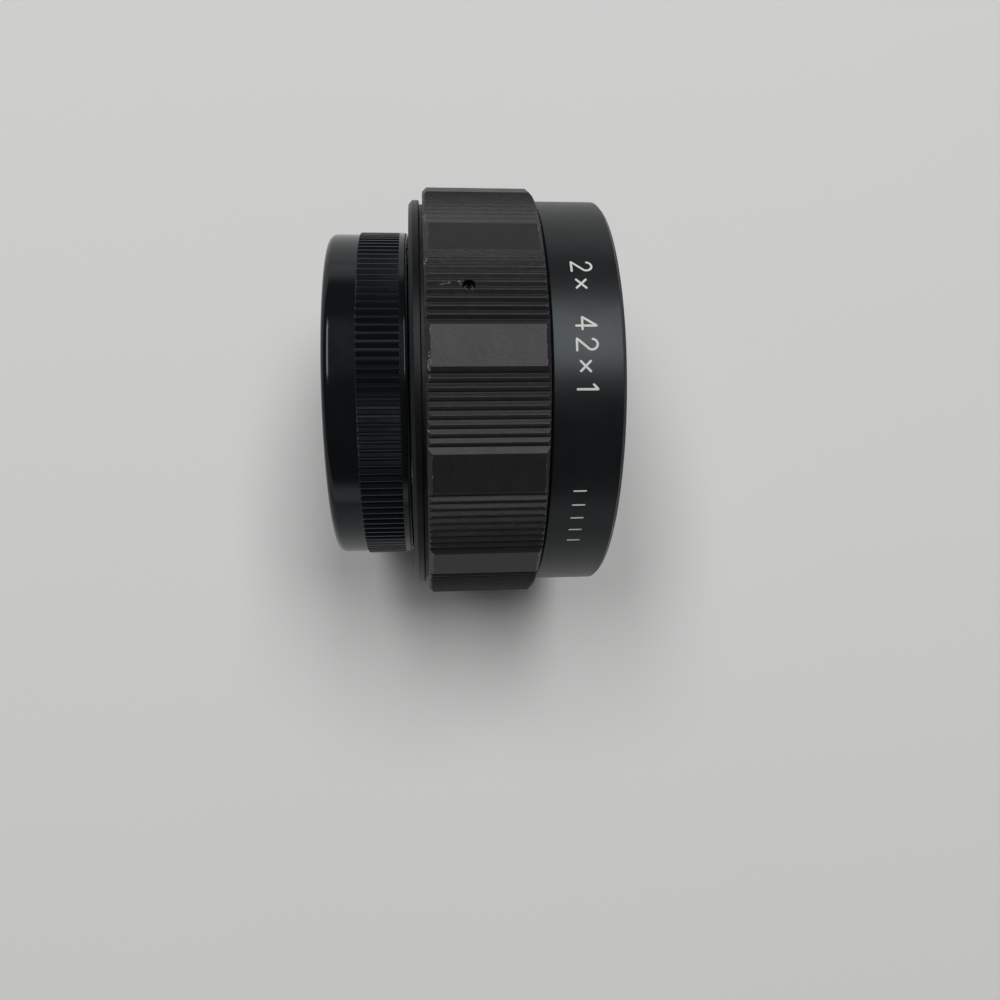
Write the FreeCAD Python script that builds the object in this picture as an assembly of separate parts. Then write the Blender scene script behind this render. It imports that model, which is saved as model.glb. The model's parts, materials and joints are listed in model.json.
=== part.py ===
"""Screw-mount teleconverter with its rear cap on, lying on one flat of its grip ring.

Frame: the X axis is the optical axis, from the camera side (-X) to the lens side (+X).
The origin is on the optical axis at the rear seating face. +Z is up, and the lowest flat of
the grip ring faces -Z. Millimetres. Angles round the axis are counted from +Z towards -Y.
"""
import FreeCAD
import Part
import math
import os

Vec = FreeCAD.Vector

# Screw mount, the same on both sides
THREAD_R = 21.0            # crest of the male thread
THREAD_PITCH = 1.0
REAR_THREAD_L = 4.2        # the male thread stands this far out of the seating face
FRONT_THREAD_L = 4.9       # depth of the female thread
THREAD_RELIEF = 0.05       # clearance of a female wall over a male crest
LEAD_IN = 0.4              # chamfer on the thread ends
THREAD_MINOR_R = THREAD_R - 0.5413 * THREAD_PITCH

# Clearances
SLIP = 0.03                # between turned pieces that are assembled once
SPIGOT = 0.05              # between a spigot and its register
RUN = 0.06                 # between the rods and their bushes
SCREW_SLIP = 0.05          # round the shank of a screw
CEMENT = 0.02              # between glass and glass, or glass and ring
GLASS_SLIP = 0.05          # round a glass in its seat
STOP_GAP = 0.02            # between faces that meet at a stop

# Screws of the two mount rings
SCREW_COUNT = 4
SCREW_R = 0.8
SCREW_HEAD_R = 1.45
SCREW_HEAD_H = 0.75
SCREW_SLOT_W = 0.4
SCREW_SLOT_D = 0.35
SCREW_ANGLE_DEG = 45.0
REAR_SCREW_L = 3.3
FRONT_SCREW_L = 4.9

# Front mount ring, from its thread outwards
FRONT_TUBE_WALL = 2.69
FRONT_SCREW_LAND = 2.0     # from the neck's bore to the screws
FRONT_PLATE_RIM = 1.95     # from the screws to the ring's edge
FRONT_PROUD = 0.15         # the ring's face stands out of the skirt
FRONT_SEAT_DEPTH = 2.7     # from the ring's face down to the shim's seat
SHIM_T = 0.2
FRONT_TUBE_R = THREAD_MINOR_R + FRONT_TUBE_WALL
NECK_R = FRONT_TUBE_R + SPIGOT
FRONT_SCREW_RING_R = NECK_R + FRONT_SCREW_LAND
FRONT_PLATE_R = FRONT_SCREW_RING_R + FRONT_PLATE_RIM
COUNTERBORE_R = FRONT_PLATE_R + SLIP

# Main barrel: skirt, sleeve under the grip, partition and screw seats
BODY_L = 27.95             # from the rear seating face to the front edge of the skirt
SKIRT_WALL = 2.52          # round the front mount ring
SKIRT_REAR_CHAMFER = 0.35
SKIRT_FRONT_CHAMFER = 0.3
NECK_L = 2.8               # the neck takes the front screws
CHAMBER_STEP = 3.0         # the chambers are this much wider than the neck
SLEEVE_WALL = 2.2
PARTITION_X = 10.6         # rear face of the partition
PARTITION_T = 2.4
REAR_SEAT_GAP = 0.6        # the rear seat's bore clears the thread's crest by this
REAR_SEAT_T = 2.3
SKIRT_R = COUNTERBORE_R + SKIRT_WALL
CHAMBER_R = NECK_R + CHAMBER_STEP
SLEEVE_R = CHAMBER_R + SLEEVE_WALL
REAR_SEAT_R = THREAD_R + REAR_SEAT_GAP
PARTITION_FRONT_X = PARTITION_X + PARTITION_T
FRONT_FACE_X = BODY_L + FRONT_PROUD
FRONT_THREAD_X = FRONT_FACE_X - FRONT_THREAD_L
NECK_X = FRONT_FACE_X - FRONT_SEAT_DEPTH

# Rear mount ring, black flange band and baffle
FLANGE_T = 1.5
FLANGE_CHAMFER = 0.55
FLANGE_EDGE_CHAMFER = 0.15
REAR_SCREW_LAND = 2.3      # from the thread's crest to the screws
MOUNT_RIM = 2.3            # from the screws to the edge of the mount ring
MOUNT_STEP_RIM = 1.1       # from the screws to the step under that edge
MOUNT_STEP_T = 0.9         # thickness of the stepped edge
THROAT_WALL = 1.4          # wall of the rear thread tube
BAFFLE_T = 0.6
BAFFLE_LAND = 0.8          # the baffle rests on this much of the rear seat
BAFFLE_GAP = 0.3           # round the lens block
FLANGE_R = SKIRT_R
REAR_SCREW_RING_R = THREAD_R + REAR_SCREW_LAND
MOUNT_PLATE_R = REAR_SCREW_RING_R + MOUNT_RIM
MOUNT_STEP_R = REAR_SCREW_RING_R + MOUNT_STEP_RIM
THROAT_R = THREAD_R - THROAT_WALL
BAFFLE_R = REAR_SEAT_R + BAFFLE_LAND
BAFFLE_X = FLANGE_T - BAFFLE_T

# Grip ring
FLATS = 12
GRIP_WALL = 2.95           # from the sleeve to the middle of a flat
GRIP_FLAT_HALF_DEG = 4.93
GRIP_L = 15.8
GRIP_REAR_GAP = 0.5        # dark groove behind the flange
GRIP_FRONT_GAP = 0.4       # dark groove before the skirt
GRIP_REAR_CHAMFER = 0.63
GRIP_FRONT_CHAMFER = 0.5
GRIP_RIM_WALL = 0.67       # of the plain rims that the ring is clamped by
GROOVES = 9
GROOVE_PITCH_DEG = 2.143
GROOVE_DEPTH = 0.46        # below the middle of a flat
RIB_H = 0.41               # of the sharp ribs between the grooves, above the grooves' bottoms
GRIP_BORE_R = SLEEVE_R + SLIP
GRIP_FLAT_H = GRIP_BORE_R + GRIP_WALL
GRIP_EDGE_R = GRIP_FLAT_H / math.cos(math.radians(GRIP_FLAT_HALF_DEG))
GRIP_FLOOR_R = GRIP_FLAT_H - GROOVE_DEPTH
GRIP_RIB_R = GRIP_FLOOR_R + RIB_H
GRIP_RIM_R = GRIP_BORE_R + GRIP_RIM_WALL
GRIP_X = FLANGE_T + GRIP_REAR_GAP
GRIP_END_X = GRIP_X + GRIP_L
SKIRT_X = GRIP_END_X + GRIP_FRONT_GAP

# Grub screws in the grip
GRUB_COUNT = 3
GRUB_FROM_REAR = 5.7       # from the rear end of the grip
GRUB_ANGLE_DEG = 15.0      # the middle of the pad before the top flat
GRUB_R = 0.8
GRUB_SINK = 0.58           # below the floors of the grooves
GRUB_BITE = 0.8            # depth of the tip in the sleeve
GRUB_SLOT_W = 0.3
GRUB_SLOT_D = 0.5
GRUB_X = GRIP_X + GRUB_FROM_REAR
GRUB_TOP_R = GRIP_FLOOR_R - GRUB_SINK
GRUB_TIP_R = SLEEVE_R - GRUB_BITE

# Diaphragm pusher
PIN_ANGLE_DEG = 180.0      # the pin stands below the axis
PIN_R = 0.8
PIN_WALL_GAP = 0.9         # from the pin to the thread tube
PIN_REACH = 1.2            # the tip stands this far out of the thread tube
PIN_SHOULDER_RIM = 0.5
PIN_SHOULDER_L = 1.2
PIN_HOLE_GAP = 0.35        # round the pin in the partition and in the baffle
PLATE_T = 1.2
PLATE_BACK = 1.1           # from the plate to the front thread
PLATE_RIM = 0.9            # from the guide rods to the plate's outer edge
PLATE_INNER_RIM = 1.5      # from the pin to the plate's inner edge
PLATE_HALF_DEG = 46.0
PLATE_END_ROUND = 0.95
ROD_OUTSET = 0.4           # the rods stand further out than the pin
ROD_HALF_DEG = 34.0        # either side of the pin
ROD_R = 0.9
ROD_SHOULDER_RIM = 0.5
ROD_TAIL_L = 6.2           # of the rods behind the partition
BUSH_WALL = 0.64
BUSH_FLANGE_RIM = 0.4
BUSH_FLANGE_T = 0.4
BUSH_TAIL_L = 0.2          # the bush stands out of the partition's rear face
COLLAR_RIM = 0.97
COLLAR_T = 0.8
SPRING_ROOM = 0.35         # between the rod and the coil's wire
SPRING_WIRE_R = 0.15
SPRING_TURNS = 5
PIN_RING_R = THROAT_R - PIN_WALL_GAP - PIN_R
PIN_TIP_X = -REAR_THREAD_L - PIN_REACH
ROD_RING_R = PIN_RING_R + ROD_OUTSET
ROD_REAR_X = PARTITION_X - ROD_TAIL_L
PLATE_X = FRONT_THREAD_X - PLATE_BACK - PLATE_T
PLATE_FRONT_X = PLATE_X + PLATE_T
PLATE_OUTER_R = ROD_RING_R + ROD_R + PLATE_RIM
PLATE_INNER_R = PIN_RING_R - PIN_R - PLATE_INNER_RIM
BUSH_BORE_R = ROD_R + RUN
BUSH_R = BUSH_BORE_R + BUSH_WALL
BUSH_FLANGE_R = BUSH_R + BUSH_FLANGE_RIM
BUSH_FRONT_X = PARTITION_FRONT_X + BUSH_FLANGE_T
COLLAR_BORE_R = ROD_R + SLIP
COLLAR_R = COLLAR_BORE_R + COLLAR_RIM
SPRING_MEAN_R = ROD_R + SPRING_ROOM + SPRING_WIRE_R
SIDES = (("left", -1), ("right", 1))

# Lens block and its ring nut
BUSH_ROOM = 0.5            # between the block's flange and the bushes
BLOCK_FRONT_L = 6.0        # from the partition to the block's front edge
BLOCK_FLANGE_RIM = 1.3
BLOCK_FLANGE_T = 1.4
STOP_BEHIND = 2.0          # the inner stop starts this far behind the partition's front face
STOP_T = 2.4               # both groups of glass seat on the stop
STOP_LIP = 1.35            # the stop reaches this far in from the front bore
FRONT_BLOCK_WALL = 2.35
REAR_BLOCK_WALL = 1.95
BLOCK_REAR_LIP = 0.35      # the block ends this far behind its retaining ring
NUT_L = 1.6
NUT_SLOT_W = 1.6
NUT_SLOT_D = 0.7
BLOCK_FRONT_X = PARTITION_FRONT_X + BLOCK_FRONT_L
BLOCK_FLANGE_R = ROD_RING_R - BUSH_FLANGE_R - BUSH_ROOM
BLOCK_R = BLOCK_FLANGE_R - BLOCK_FLANGE_RIM
STOP_FRONT_X = PARTITION_FRONT_X - STOP_BEHIND
STOP_REAR_X = STOP_FRONT_X - STOP_T
FRONT_BORE_R = BLOCK_R - FRONT_BLOCK_WALL
REAR_BORE_R = BLOCK_R - REAR_BLOCK_WALL
STOP_R = FRONT_BORE_R - STOP_LIP

# Glass: radii of the surfaces, thicknesses on the axis, widths of the flat rims
FRONT_ELEMENT_FRONT_R = 60.0
CEMENTED_R = 32.0
FRONT_ELEMENT_T = 4.2
DOUBLET_REAR_R = 32.0
DOUBLET_RIM = 1.5
DOUBLET_ELEMENT_T = 1.2
THIRD_FRONT_R = 45.0
THIRD_FRONT_RIM = 1.9
THIRD_REAR_R = 60.0
THIRD_REAR_RIM = 1.6
THIRD_T = 1.3
REAR_ELEMENT_FRONT_R = 28.0
REAR_ELEMENT_REAR_R = 50.0
REAR_ELEMENT_T = 5.4
REAR_AIR_GAP = 0.43        # between the third and the rear element
FRONT_RING_LIP = 1.25      # how far the retaining rings reach in
FRONT_RING_L = 1.5
REAR_RING_LIP = 1.35
REAR_RING_L = 1.4
RING_SLOT_W = 1.2
RING_SLOT_D = 0.6
FRONT_GLASS_R = FRONT_BORE_R - GLASS_SLIP
REAR_GLASS_R = REAR_BORE_R - GLASS_SLIP
FRONT_RING_BORE_R = FRONT_BORE_R - FRONT_RING_LIP
REAR_RING_BORE_R = REAR_BORE_R - REAR_RING_LIP

# Rear cap
CAP_GAP = 0.2              # between the lip and the seating face
CAP_THREAD_L = 4.2
CAP_L = 11.6               # from the closed end to the lip
CAP_WALL = 3.65            # from the thread to the smooth band
CAP_RIB_PROUD = 0.3        # the ribs stand out of the band
CAP_RIBS = 132
CAP_RIB_LAND_SHARE = 0.12
CAP_KNURL_L = 5.84
CAP_LIP_L = 1.22           # from the knurl to the lip's face
CAP_END_ROUND = 1.1
CAP_LIP_ROUND = 0.7
CAP_END_T = 1.4
CAP_CAVITY_STEP = 0.45     # the cavity is narrower than the thread by this
CAP_END_RING = 5.7         # flat rim of the closed face, round its shallow step
CAP_END_STEP = 0.3
CAP_BORE_R = THREAD_R + THREAD_RELIEF
CAP_BAND_R = CAP_BORE_R + CAP_WALL
CAP_R = CAP_BAND_R + CAP_RIB_PROUD
CAP_CAVITY_R = CAP_BORE_R - CAP_CAVITY_STEP
CAP_STEP_R = CAP_BAND_R - CAP_END_RING
CAP_LIP_X = -CAP_GAP
CAP_END_X = CAP_LIP_X - CAP_L
CAP_KNURL_END_X = CAP_LIP_X - CAP_LIP_L
CAP_KNURL_X = CAP_KNURL_END_X - CAP_KNURL_L


def polar(x, r, angle_deg):
    """Point at distance r from the axis, angle counted from +Z towards -Y."""
    a = math.radians(angle_deg)
    return Vec(x, -r * math.sin(a), r * math.cos(a))


def outward(angle_deg):
    """Unit direction away from the axis."""
    return polar(0.0, 1.0, angle_deg)


def turned(points):
    """Solid of revolution about the X axis from a closed outline of (x, r) points."""
    outline = Part.makePolygon([Vec(x, 0, r) for x, r in points] + [Vec(points[0][0], 0, points[0][1])])
    return Part.Face(outline).revolve(Vec(0, 0, 0), Vec(1, 0, 0), 360)


def turned_edges(edges):
    """Solid of revolution about the X axis from edges in the XZ plane."""
    return Part.Face(Part.Wire(edges)).revolve(Vec(0, 0, 0), Vec(1, 0, 0), 360)


def rod(x0, x1, r, ring_r=0.0, angle_deg=0.0):
    """Round bar parallel to the axis."""
    base = polar(x0, ring_r, angle_deg) if ring_r else Vec(x0, 0, 0)
    return Part.makeCylinder(r, x1 - x0, base, Vec(1, 0, 0))


def block_between(x0, x1, y0, y1, z0, z1):
    """Plain box between two corners."""
    return Part.makeBox(x1 - x0, y1 - y0, z1 - z0, Vec(x0, y0, z0))


def spun(shape, angle_deg):
    """Copy turned about the axis, by the same sense as polar."""
    copy = shape.copy()
    copy.rotate(Vec(0, 0, 0), Vec(1, 0, 0), angle_deg)
    return copy


def sag(surface_r, height):
    """Depth of a sphere of radius surface_r at a height from its axis."""
    return surface_r - math.sqrt(surface_r ** 2 - height ** 2)


def dome(vertex_x, surface_r, height, sign):
    """Arc in the XZ plane from the axis to a height. sign +1 bends away to +X, -1 to -X."""
    ends = [Vec(vertex_x + sign * sag(surface_r, h), 0, h) for h in (0.0, height / 2, height)]
    return Part.Arc(*ends).toShape()


def line(p, q):
    """Straight edge between two (x, r) points in the XZ plane."""
    return Part.LineSegment(Vec(p[0], 0, p[1]), Vec(q[0], 0, q[1])).toShape()


def lines(points):
    """Straight edges through (x, r) points, past any that repeat."""
    return [line(p, q) for p, q in zip(points, points[1:]) if math.dist(p, q) > 1e-6]


def corner(x, r, from_dir, to_dir, radius):
    """Quarter arc that rounds an outline's corner, and its two ends as (x, r)."""
    start = (x - from_dir[0] * radius, r - from_dir[1] * radius)
    end = (x + to_dir[0] * radius, r + to_dir[1] * radius)
    k = 1 - math.sqrt(0.5)
    mid = (x + (to_dir[0] - from_dir[0]) * radius * k, r + (to_dir[1] - from_dir[1]) * radius * k)
    arc = Part.Arc(Vec(start[0], 0, start[1]), Vec(mid[0], 0, mid[1]), Vec(end[0], 0, end[1]))
    return start, arc.toShape(), end


def toothed_prism(outline, x0, length, bore_r):
    """Prism along the axis from polar outline points (r, angle), with a round bore."""
    points = [polar(x0, r, a) for r, a in outline]
    face = Part.Face(Part.makePolygon(points + [points[0]]))
    return face.extrude(Vec(length, 0, 0)).cut(rod(x0 - 1, x0 + length + 1, bore_r))


def on_circle(count, first_deg):
    """Evenly spaced angles."""
    return [first_deg + 360.0 * i / count for i in range(count)]


def countersunk_screw(face_x, way, ring_r, angle_deg, length):
    """Slotted screw with its head flush in a face. way is +1 when the shank runs to +X."""
    base = polar(face_x, ring_r, angle_deg)
    along = Vec(way, 0, 0)
    head = Part.makeCone(SCREW_HEAD_R, SCREW_R, SCREW_HEAD_H, base, along)
    shank = Part.makeCylinder(SCREW_R, length, base, along)
    slot = block_between(-SCREW_SLOT_D, SCREW_SLOT_D, -SCREW_SLOT_W / 2, SCREW_SLOT_W / 2,
                         -SCREW_HEAD_R, SCREW_HEAD_R)
    slot.translate(base)
    return head.fuse(shank).cut(slot)


def countersunk_hole(face_x, way, ring_r, angle_deg, length):
    """Room for such a screw, with a little clearance all round."""
    base = polar(face_x, ring_r, angle_deg)
    along = Vec(way, 0, 0)
    top = polar(face_x - way * SCREW_SLIP, ring_r, angle_deg)
    head = Part.makeCone(SCREW_HEAD_R + 2 * SCREW_SLIP, SCREW_R + SCREW_SLIP,
                         SCREW_HEAD_H + SCREW_SLIP, top, along)
    return head.fuse(Part.makeCylinder(SCREW_R + SCREW_SLIP, length + SCREW_SLIP, base, along))


def screw_angles():
    """Angles of the screws of either mount ring."""
    return on_circle(SCREW_COUNT, SCREW_ANGLE_DEG)


def grub_angles():
    """Angles of the grub screws, each in the middle of a pad."""
    return on_circle(GRUB_COUNT, -GRUB_ANGLE_DEG)


def rod_angles():
    """Side name and angle of the two guide rods."""
    return [(side, PIN_ANGLE_DEG + way * ROD_HALF_DEG) for side, way in SIDES]


def grub_holes():
    """Radial room for the grub screws, open at the outside."""
    return [Part.makeCylinder(GRUB_R + SLIP, GRIP_EDGE_R, polar(GRUB_X, GRUB_TIP_R - SLIP, a), outward(a))
            for a in grub_angles()]


def main_barrel():
    """Skirt and sleeve in one piece, with a partition between two chambers."""
    outline = [
        (FLANGE_T, REAR_SEAT_R), (FLANGE_T, SLEEVE_R), (SKIRT_X, SLEEVE_R),
        (SKIRT_X, SKIRT_R - SKIRT_REAR_CHAMFER), (SKIRT_X + SKIRT_REAR_CHAMFER, SKIRT_R),
        (BODY_L - SKIRT_FRONT_CHAMFER, SKIRT_R), (BODY_L, SKIRT_R - SKIRT_FRONT_CHAMFER),
        (BODY_L, COUNTERBORE_R), (NECK_X, COUNTERBORE_R), (NECK_X, NECK_R),
        (NECK_X - NECK_L, NECK_R), (NECK_X - NECK_L, CHAMBER_R), (PARTITION_FRONT_X, CHAMBER_R),
        (PARTITION_FRONT_X, BLOCK_R + SLIP), (PARTITION_X, BLOCK_R + SLIP), (PARTITION_X, CHAMBER_R),
        (FLANGE_T + REAR_SEAT_T, CHAMBER_R), (FLANGE_T + REAR_SEAT_T, REAR_SEAT_R),
    ]
    barrel = turned(outline)
    cuts = grub_holes()
    cuts += [rod(FLANGE_T - 1, REAR_SCREW_L + SCREW_SLIP, SCREW_R + SCREW_SLIP, REAR_SCREW_RING_R, a)
             for a in screw_angles()]
    cuts += [rod(FRONT_FACE_X - FRONT_SCREW_L - SCREW_SLIP, FRONT_FACE_X, SCREW_R + SCREW_SLIP,
                 FRONT_SCREW_RING_R, a) for a in screw_angles()]
    cuts += [rod(PARTITION_X - 1, PARTITION_FRONT_X + 1, BUSH_R + SLIP, ROD_RING_R, a)
             for _, a in rod_angles()]
    cuts.append(rod(PARTITION_X - 1, PARTITION_FRONT_X + 1, PIN_R + PIN_HOLE_GAP, PIN_RING_R, PIN_ANGLE_DEG))
    return barrel.cut(cuts)


def grip_outline():
    """Polar outline of the grip: a flat, then a pad of V grooves, round and round."""
    step = 360.0 / FLATS
    outline = []
    for k in range(FLATS):
        middle = k * step
        outline.append((GRIP_EDGE_R, middle - GRIP_FLAT_HALF_DEG))
        outline.append((GRIP_EDGE_R, middle + GRIP_FLAT_HALF_DEG))
        first = middle + step / 2 - GROOVE_PITCH_DEG * (GROOVES - 1) / 2
        outline.append((GRIP_FLOOR_R, first))
        for i in range(1, GROOVES):
            outline.append((GRIP_RIB_R, first + (i - 0.5) * GROOVE_PITCH_DEG))
            outline.append((GRIP_FLOOR_R, first + i * GROOVE_PITCH_DEG))
    return outline


def grip_ring():
    """Fluted ring, bevelled at both ends, clamped by its plain rims."""
    fluted = toothed_prism(grip_outline(), GRIP_X, GRIP_L, GRIP_BORE_R)
    top = GRIP_EDGE_R + 1
    envelope = turned([
        (GRIP_X, 0), (GRIP_X, GRIP_EDGE_R - GRIP_REAR_CHAMFER),
        (GRIP_X + GRIP_REAR_CHAMFER + 1, top), (GRIP_END_X - GRIP_FRONT_CHAMFER - 1, top),
        (GRIP_END_X, GRIP_EDGE_R - GRIP_FRONT_CHAMFER), (GRIP_END_X, 0),
    ])
    rim = turned([(FLANGE_T + STOP_GAP, GRIP_BORE_R), (FLANGE_T + STOP_GAP, GRIP_RIM_R),
                  (SKIRT_X - STOP_GAP, GRIP_RIM_R), (SKIRT_X - STOP_GAP, GRIP_BORE_R)])
    ring = fluted.common(envelope).fuse(rim)
    return ring.cut(grub_holes())


def grip_set_screws():
    """Grub screws with a slot, below the crest of the pads."""
    screws = []
    for angle in grub_angles():
        tip = polar(GRUB_X, GRUB_TIP_R, angle)
        body = Part.makeCylinder(GRUB_R, GRUB_TOP_R - GRUB_TIP_R, tip, outward(angle))
        slot = block_between(GRUB_X - GRUB_SLOT_W / 2, GRUB_X + GRUB_SLOT_W / 2,
                             -GRUB_R - SLIP, GRUB_R + SLIP, GRUB_TOP_R - GRUB_SLOT_D, GRUB_TOP_R + 1)
        screws.append(body.cut(spun(slot, angle)))
    return Part.makeCompound(screws)


def rear_flange():
    """Black band, held down by the edge of the rear mount ring."""
    return turned([
        (0, MOUNT_PLATE_R + SLIP), (0, FLANGE_R - FLANGE_CHAMFER), (FLANGE_CHAMFER, FLANGE_R),
        (FLANGE_T - FLANGE_EDGE_CHAMFER, FLANGE_R), (FLANGE_T, FLANGE_R - FLANGE_EDGE_CHAMFER),
        (FLANGE_T, MOUNT_STEP_R + SLIP), (MOUNT_STEP_T, MOUNT_STEP_R + SLIP),
        (MOUNT_STEP_T, MOUNT_PLATE_R + SLIP),
    ])


def rear_mount_ring():
    """Thread tube on a thin plate, recessed underneath for the baffle."""
    ring = turned([
        (-REAR_THREAD_L, THROAT_R), (-REAR_THREAD_L, THREAD_R - LEAD_IN),
        (LEAD_IN - REAR_THREAD_L, THREAD_R), (0, THREAD_R), (0, MOUNT_PLATE_R),
        (MOUNT_STEP_T, MOUNT_PLATE_R), (MOUNT_STEP_T, MOUNT_STEP_R), (FLANGE_T, MOUNT_STEP_R),
        (FLANGE_T, BAFFLE_R + SLIP), (BAFFLE_X, BAFFLE_R + SLIP), (BAFFLE_X, THROAT_R),
    ])
    return ring.cut([countersunk_hole(0, 1, REAR_SCREW_RING_R, a, FLANGE_T) for a in screw_angles()])


def rear_mount_screws():
    """Screws of the rear mount ring."""
    return Part.makeCompound([countersunk_screw(0, 1, REAR_SCREW_RING_R, a, REAR_SCREW_L)
                              for a in screw_angles()])


def rear_baffle():
    """Plate that closes the barrel round the rear glass."""
    plate = turned([(BAFFLE_X, BLOCK_R + BAFFLE_GAP), (BAFFLE_X, BAFFLE_R),
                    (FLANGE_T, BAFFLE_R), (FLANGE_T, BLOCK_R + BAFFLE_GAP)])
    return plate.cut(rod(0, FLANGE_T + 1, PIN_R + PIN_HOLE_GAP, PIN_RING_R, PIN_ANGLE_DEG))


def front_mount_ring():
    """Threaded ring in the counterbore of the skirt."""
    ring = turned([
        (FRONT_THREAD_X, THREAD_MINOR_R), (FRONT_THREAD_X, FRONT_TUBE_R), (NECK_X + SHIM_T, FRONT_TUBE_R),
        (NECK_X + SHIM_T, FRONT_PLATE_R), (FRONT_FACE_X, FRONT_PLATE_R),
        (FRONT_FACE_X, THREAD_MINOR_R + LEAD_IN), (FRONT_FACE_X - LEAD_IN, THREAD_MINOR_R),
    ])
    return ring.cut([countersunk_hole(FRONT_FACE_X, -1, FRONT_SCREW_RING_R, a, FRONT_SCREW_L)
                     for a in screw_angles()])


def front_mount_screws():
    """Screws of the front mount ring."""
    return Part.makeCompound([countersunk_screw(FRONT_FACE_X, -1, FRONT_SCREW_RING_R, a, FRONT_SCREW_L)
                              for a in screw_angles()])


def front_mount_shim():
    """Thin ring that sets the distance between the two mounts."""
    shim = turned([(NECK_X, NECK_R), (NECK_X, FRONT_PLATE_R), (NECK_X + SHIM_T, FRONT_PLATE_R),
                   (NECK_X + SHIM_T, NECK_R)])
    return shim.cut([rod(NECK_X - 1, NECK_X + SHIM_T + 1, SCREW_R + SCREW_SLIP, FRONT_SCREW_RING_R, a)
                     for a in screw_angles()])


def lens_block():
    """Tube for the glass, with an inner stop and a flange on the partition."""
    flange_x = PARTITION_FRONT_X
    rear_x = rear_ring_face_x() - BLOCK_REAR_LIP
    return turned([
        (rear_x, REAR_BORE_R), (rear_x, BLOCK_R), (flange_x, BLOCK_R),
        (flange_x, BLOCK_FLANGE_R), (flange_x + BLOCK_FLANGE_T, BLOCK_FLANGE_R),
        (flange_x + BLOCK_FLANGE_T, BLOCK_R), (BLOCK_FRONT_X, BLOCK_R), (BLOCK_FRONT_X, FRONT_BORE_R),
        (STOP_FRONT_X, FRONT_BORE_R), (STOP_FRONT_X, STOP_R), (STOP_REAR_X, STOP_R),
        (STOP_REAR_X, REAR_BORE_R),
    ])


def lens_block_nut():
    """Slotted ring nut that pulls the lens block's flange against the partition."""
    x0 = PARTITION_X - NUT_L
    nut = turned([(x0, BLOCK_R + SLIP), (x0, BLOCK_FLANGE_R), (PARTITION_X, BLOCK_FLANGE_R),
                  (PARTITION_X, BLOCK_R + SLIP)])
    slot = block_between(x0 - 1, x0 + NUT_SLOT_D, -BLOCK_FLANGE_R, BLOCK_FLANGE_R,
                         -NUT_SLOT_W / 2, NUT_SLOT_W / 2)
    return nut.cut(slot)


def doublet_vertices():
    """Axial places of the three surfaces of the cemented pair, from the front."""
    rear = STOP_FRONT_X + sag(DOUBLET_REAR_R, FRONT_GLASS_R - DOUBLET_RIM)
    middle = rear + DOUBLET_ELEMENT_T
    return middle + FRONT_ELEMENT_T, middle, rear


def rear_group_vertices():
    """Axial places of the four surfaces of the rear group, from the front."""
    third_front = STOP_REAR_X - sag(THIRD_FRONT_R, REAR_GLASS_R - THIRD_FRONT_RIM)
    third_rear = third_front - THIRD_T
    rear_front = third_rear - REAR_AIR_GAP
    return third_front, third_rear, rear_front, rear_front - REAR_ELEMENT_T


def front_element():
    """Biconvex glass, cemented at its rear."""
    front_x, middle_x, _ = doublet_vertices()
    rear_x = middle_x + CEMENT
    front = dome(front_x, FRONT_ELEMENT_FRONT_R, FRONT_GLASS_R, -1)
    rear = dome(rear_x, CEMENTED_R, FRONT_GLASS_R, 1)
    edge = line((rear_x + sag(CEMENTED_R, FRONT_GLASS_R), FRONT_GLASS_R),
                (front_x - sag(FRONT_ELEMENT_FRONT_R, FRONT_GLASS_R), FRONT_GLASS_R))
    return turned_edges([rear, edge, front, line((front_x, 0), (rear_x, 0))])


def front_doublet_element():
    """Biconcave glass under the front element, seated on the stop."""
    _, middle_x, rear_x = doublet_vertices()
    open_r = FRONT_GLASS_R - DOUBLET_RIM
    front = dome(middle_x, CEMENTED_R, FRONT_GLASS_R, 1)
    rear = dome(rear_x, DOUBLET_REAR_R, open_r, -1)
    rim_x = middle_x + sag(CEMENTED_R, FRONT_GLASS_R)
    rim = lines([(STOP_FRONT_X, open_r), (STOP_FRONT_X, FRONT_GLASS_R), (rim_x, FRONT_GLASS_R)])
    return turned_edges([rear] + rim + [front, line((middle_x, 0), (rear_x, 0))])


def third_element_edge_x():
    """Rear plane of the third element's rim."""
    return rear_group_vertices()[1] - sag(THIRD_REAR_R, REAR_GLASS_R - THIRD_REAR_RIM)


def third_element():
    """Biconcave glass, seated on the rear of the stop."""
    front_x, rear_x, _, _ = rear_group_vertices()
    front_open_r = REAR_GLASS_R - THIRD_FRONT_RIM
    rear_open_r = REAR_GLASS_R - THIRD_REAR_RIM
    edge_x = third_element_edge_x()
    rim = lines([(STOP_REAR_X, front_open_r), (STOP_REAR_X, REAR_GLASS_R), (edge_x, REAR_GLASS_R),
                 (edge_x, rear_open_r)])
    front = dome(front_x, THIRD_FRONT_R, front_open_r, 1)
    rear = dome(rear_x, THIRD_REAR_R, rear_open_r, -1)
    return turned_edges([front] + rim + [rear, line((rear_x, 0), (front_x, 0))])


def rear_element():
    """Biconvex glass at the camera's side."""
    _, _, front_x, rear_x = rear_group_vertices()
    edge = line((front_x - sag(REAR_ELEMENT_FRONT_R, REAR_GLASS_R), REAR_GLASS_R),
                (rear_x + sag(REAR_ELEMENT_REAR_R, REAR_GLASS_R), REAR_GLASS_R))
    front = dome(front_x, REAR_ELEMENT_FRONT_R, REAR_GLASS_R, -1)
    rear = dome(rear_x, REAR_ELEMENT_REAR_R, REAR_GLASS_R, 1)
    return turned_edges([front, edge, rear, line((rear_x, 0), (front_x, 0))])


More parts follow.
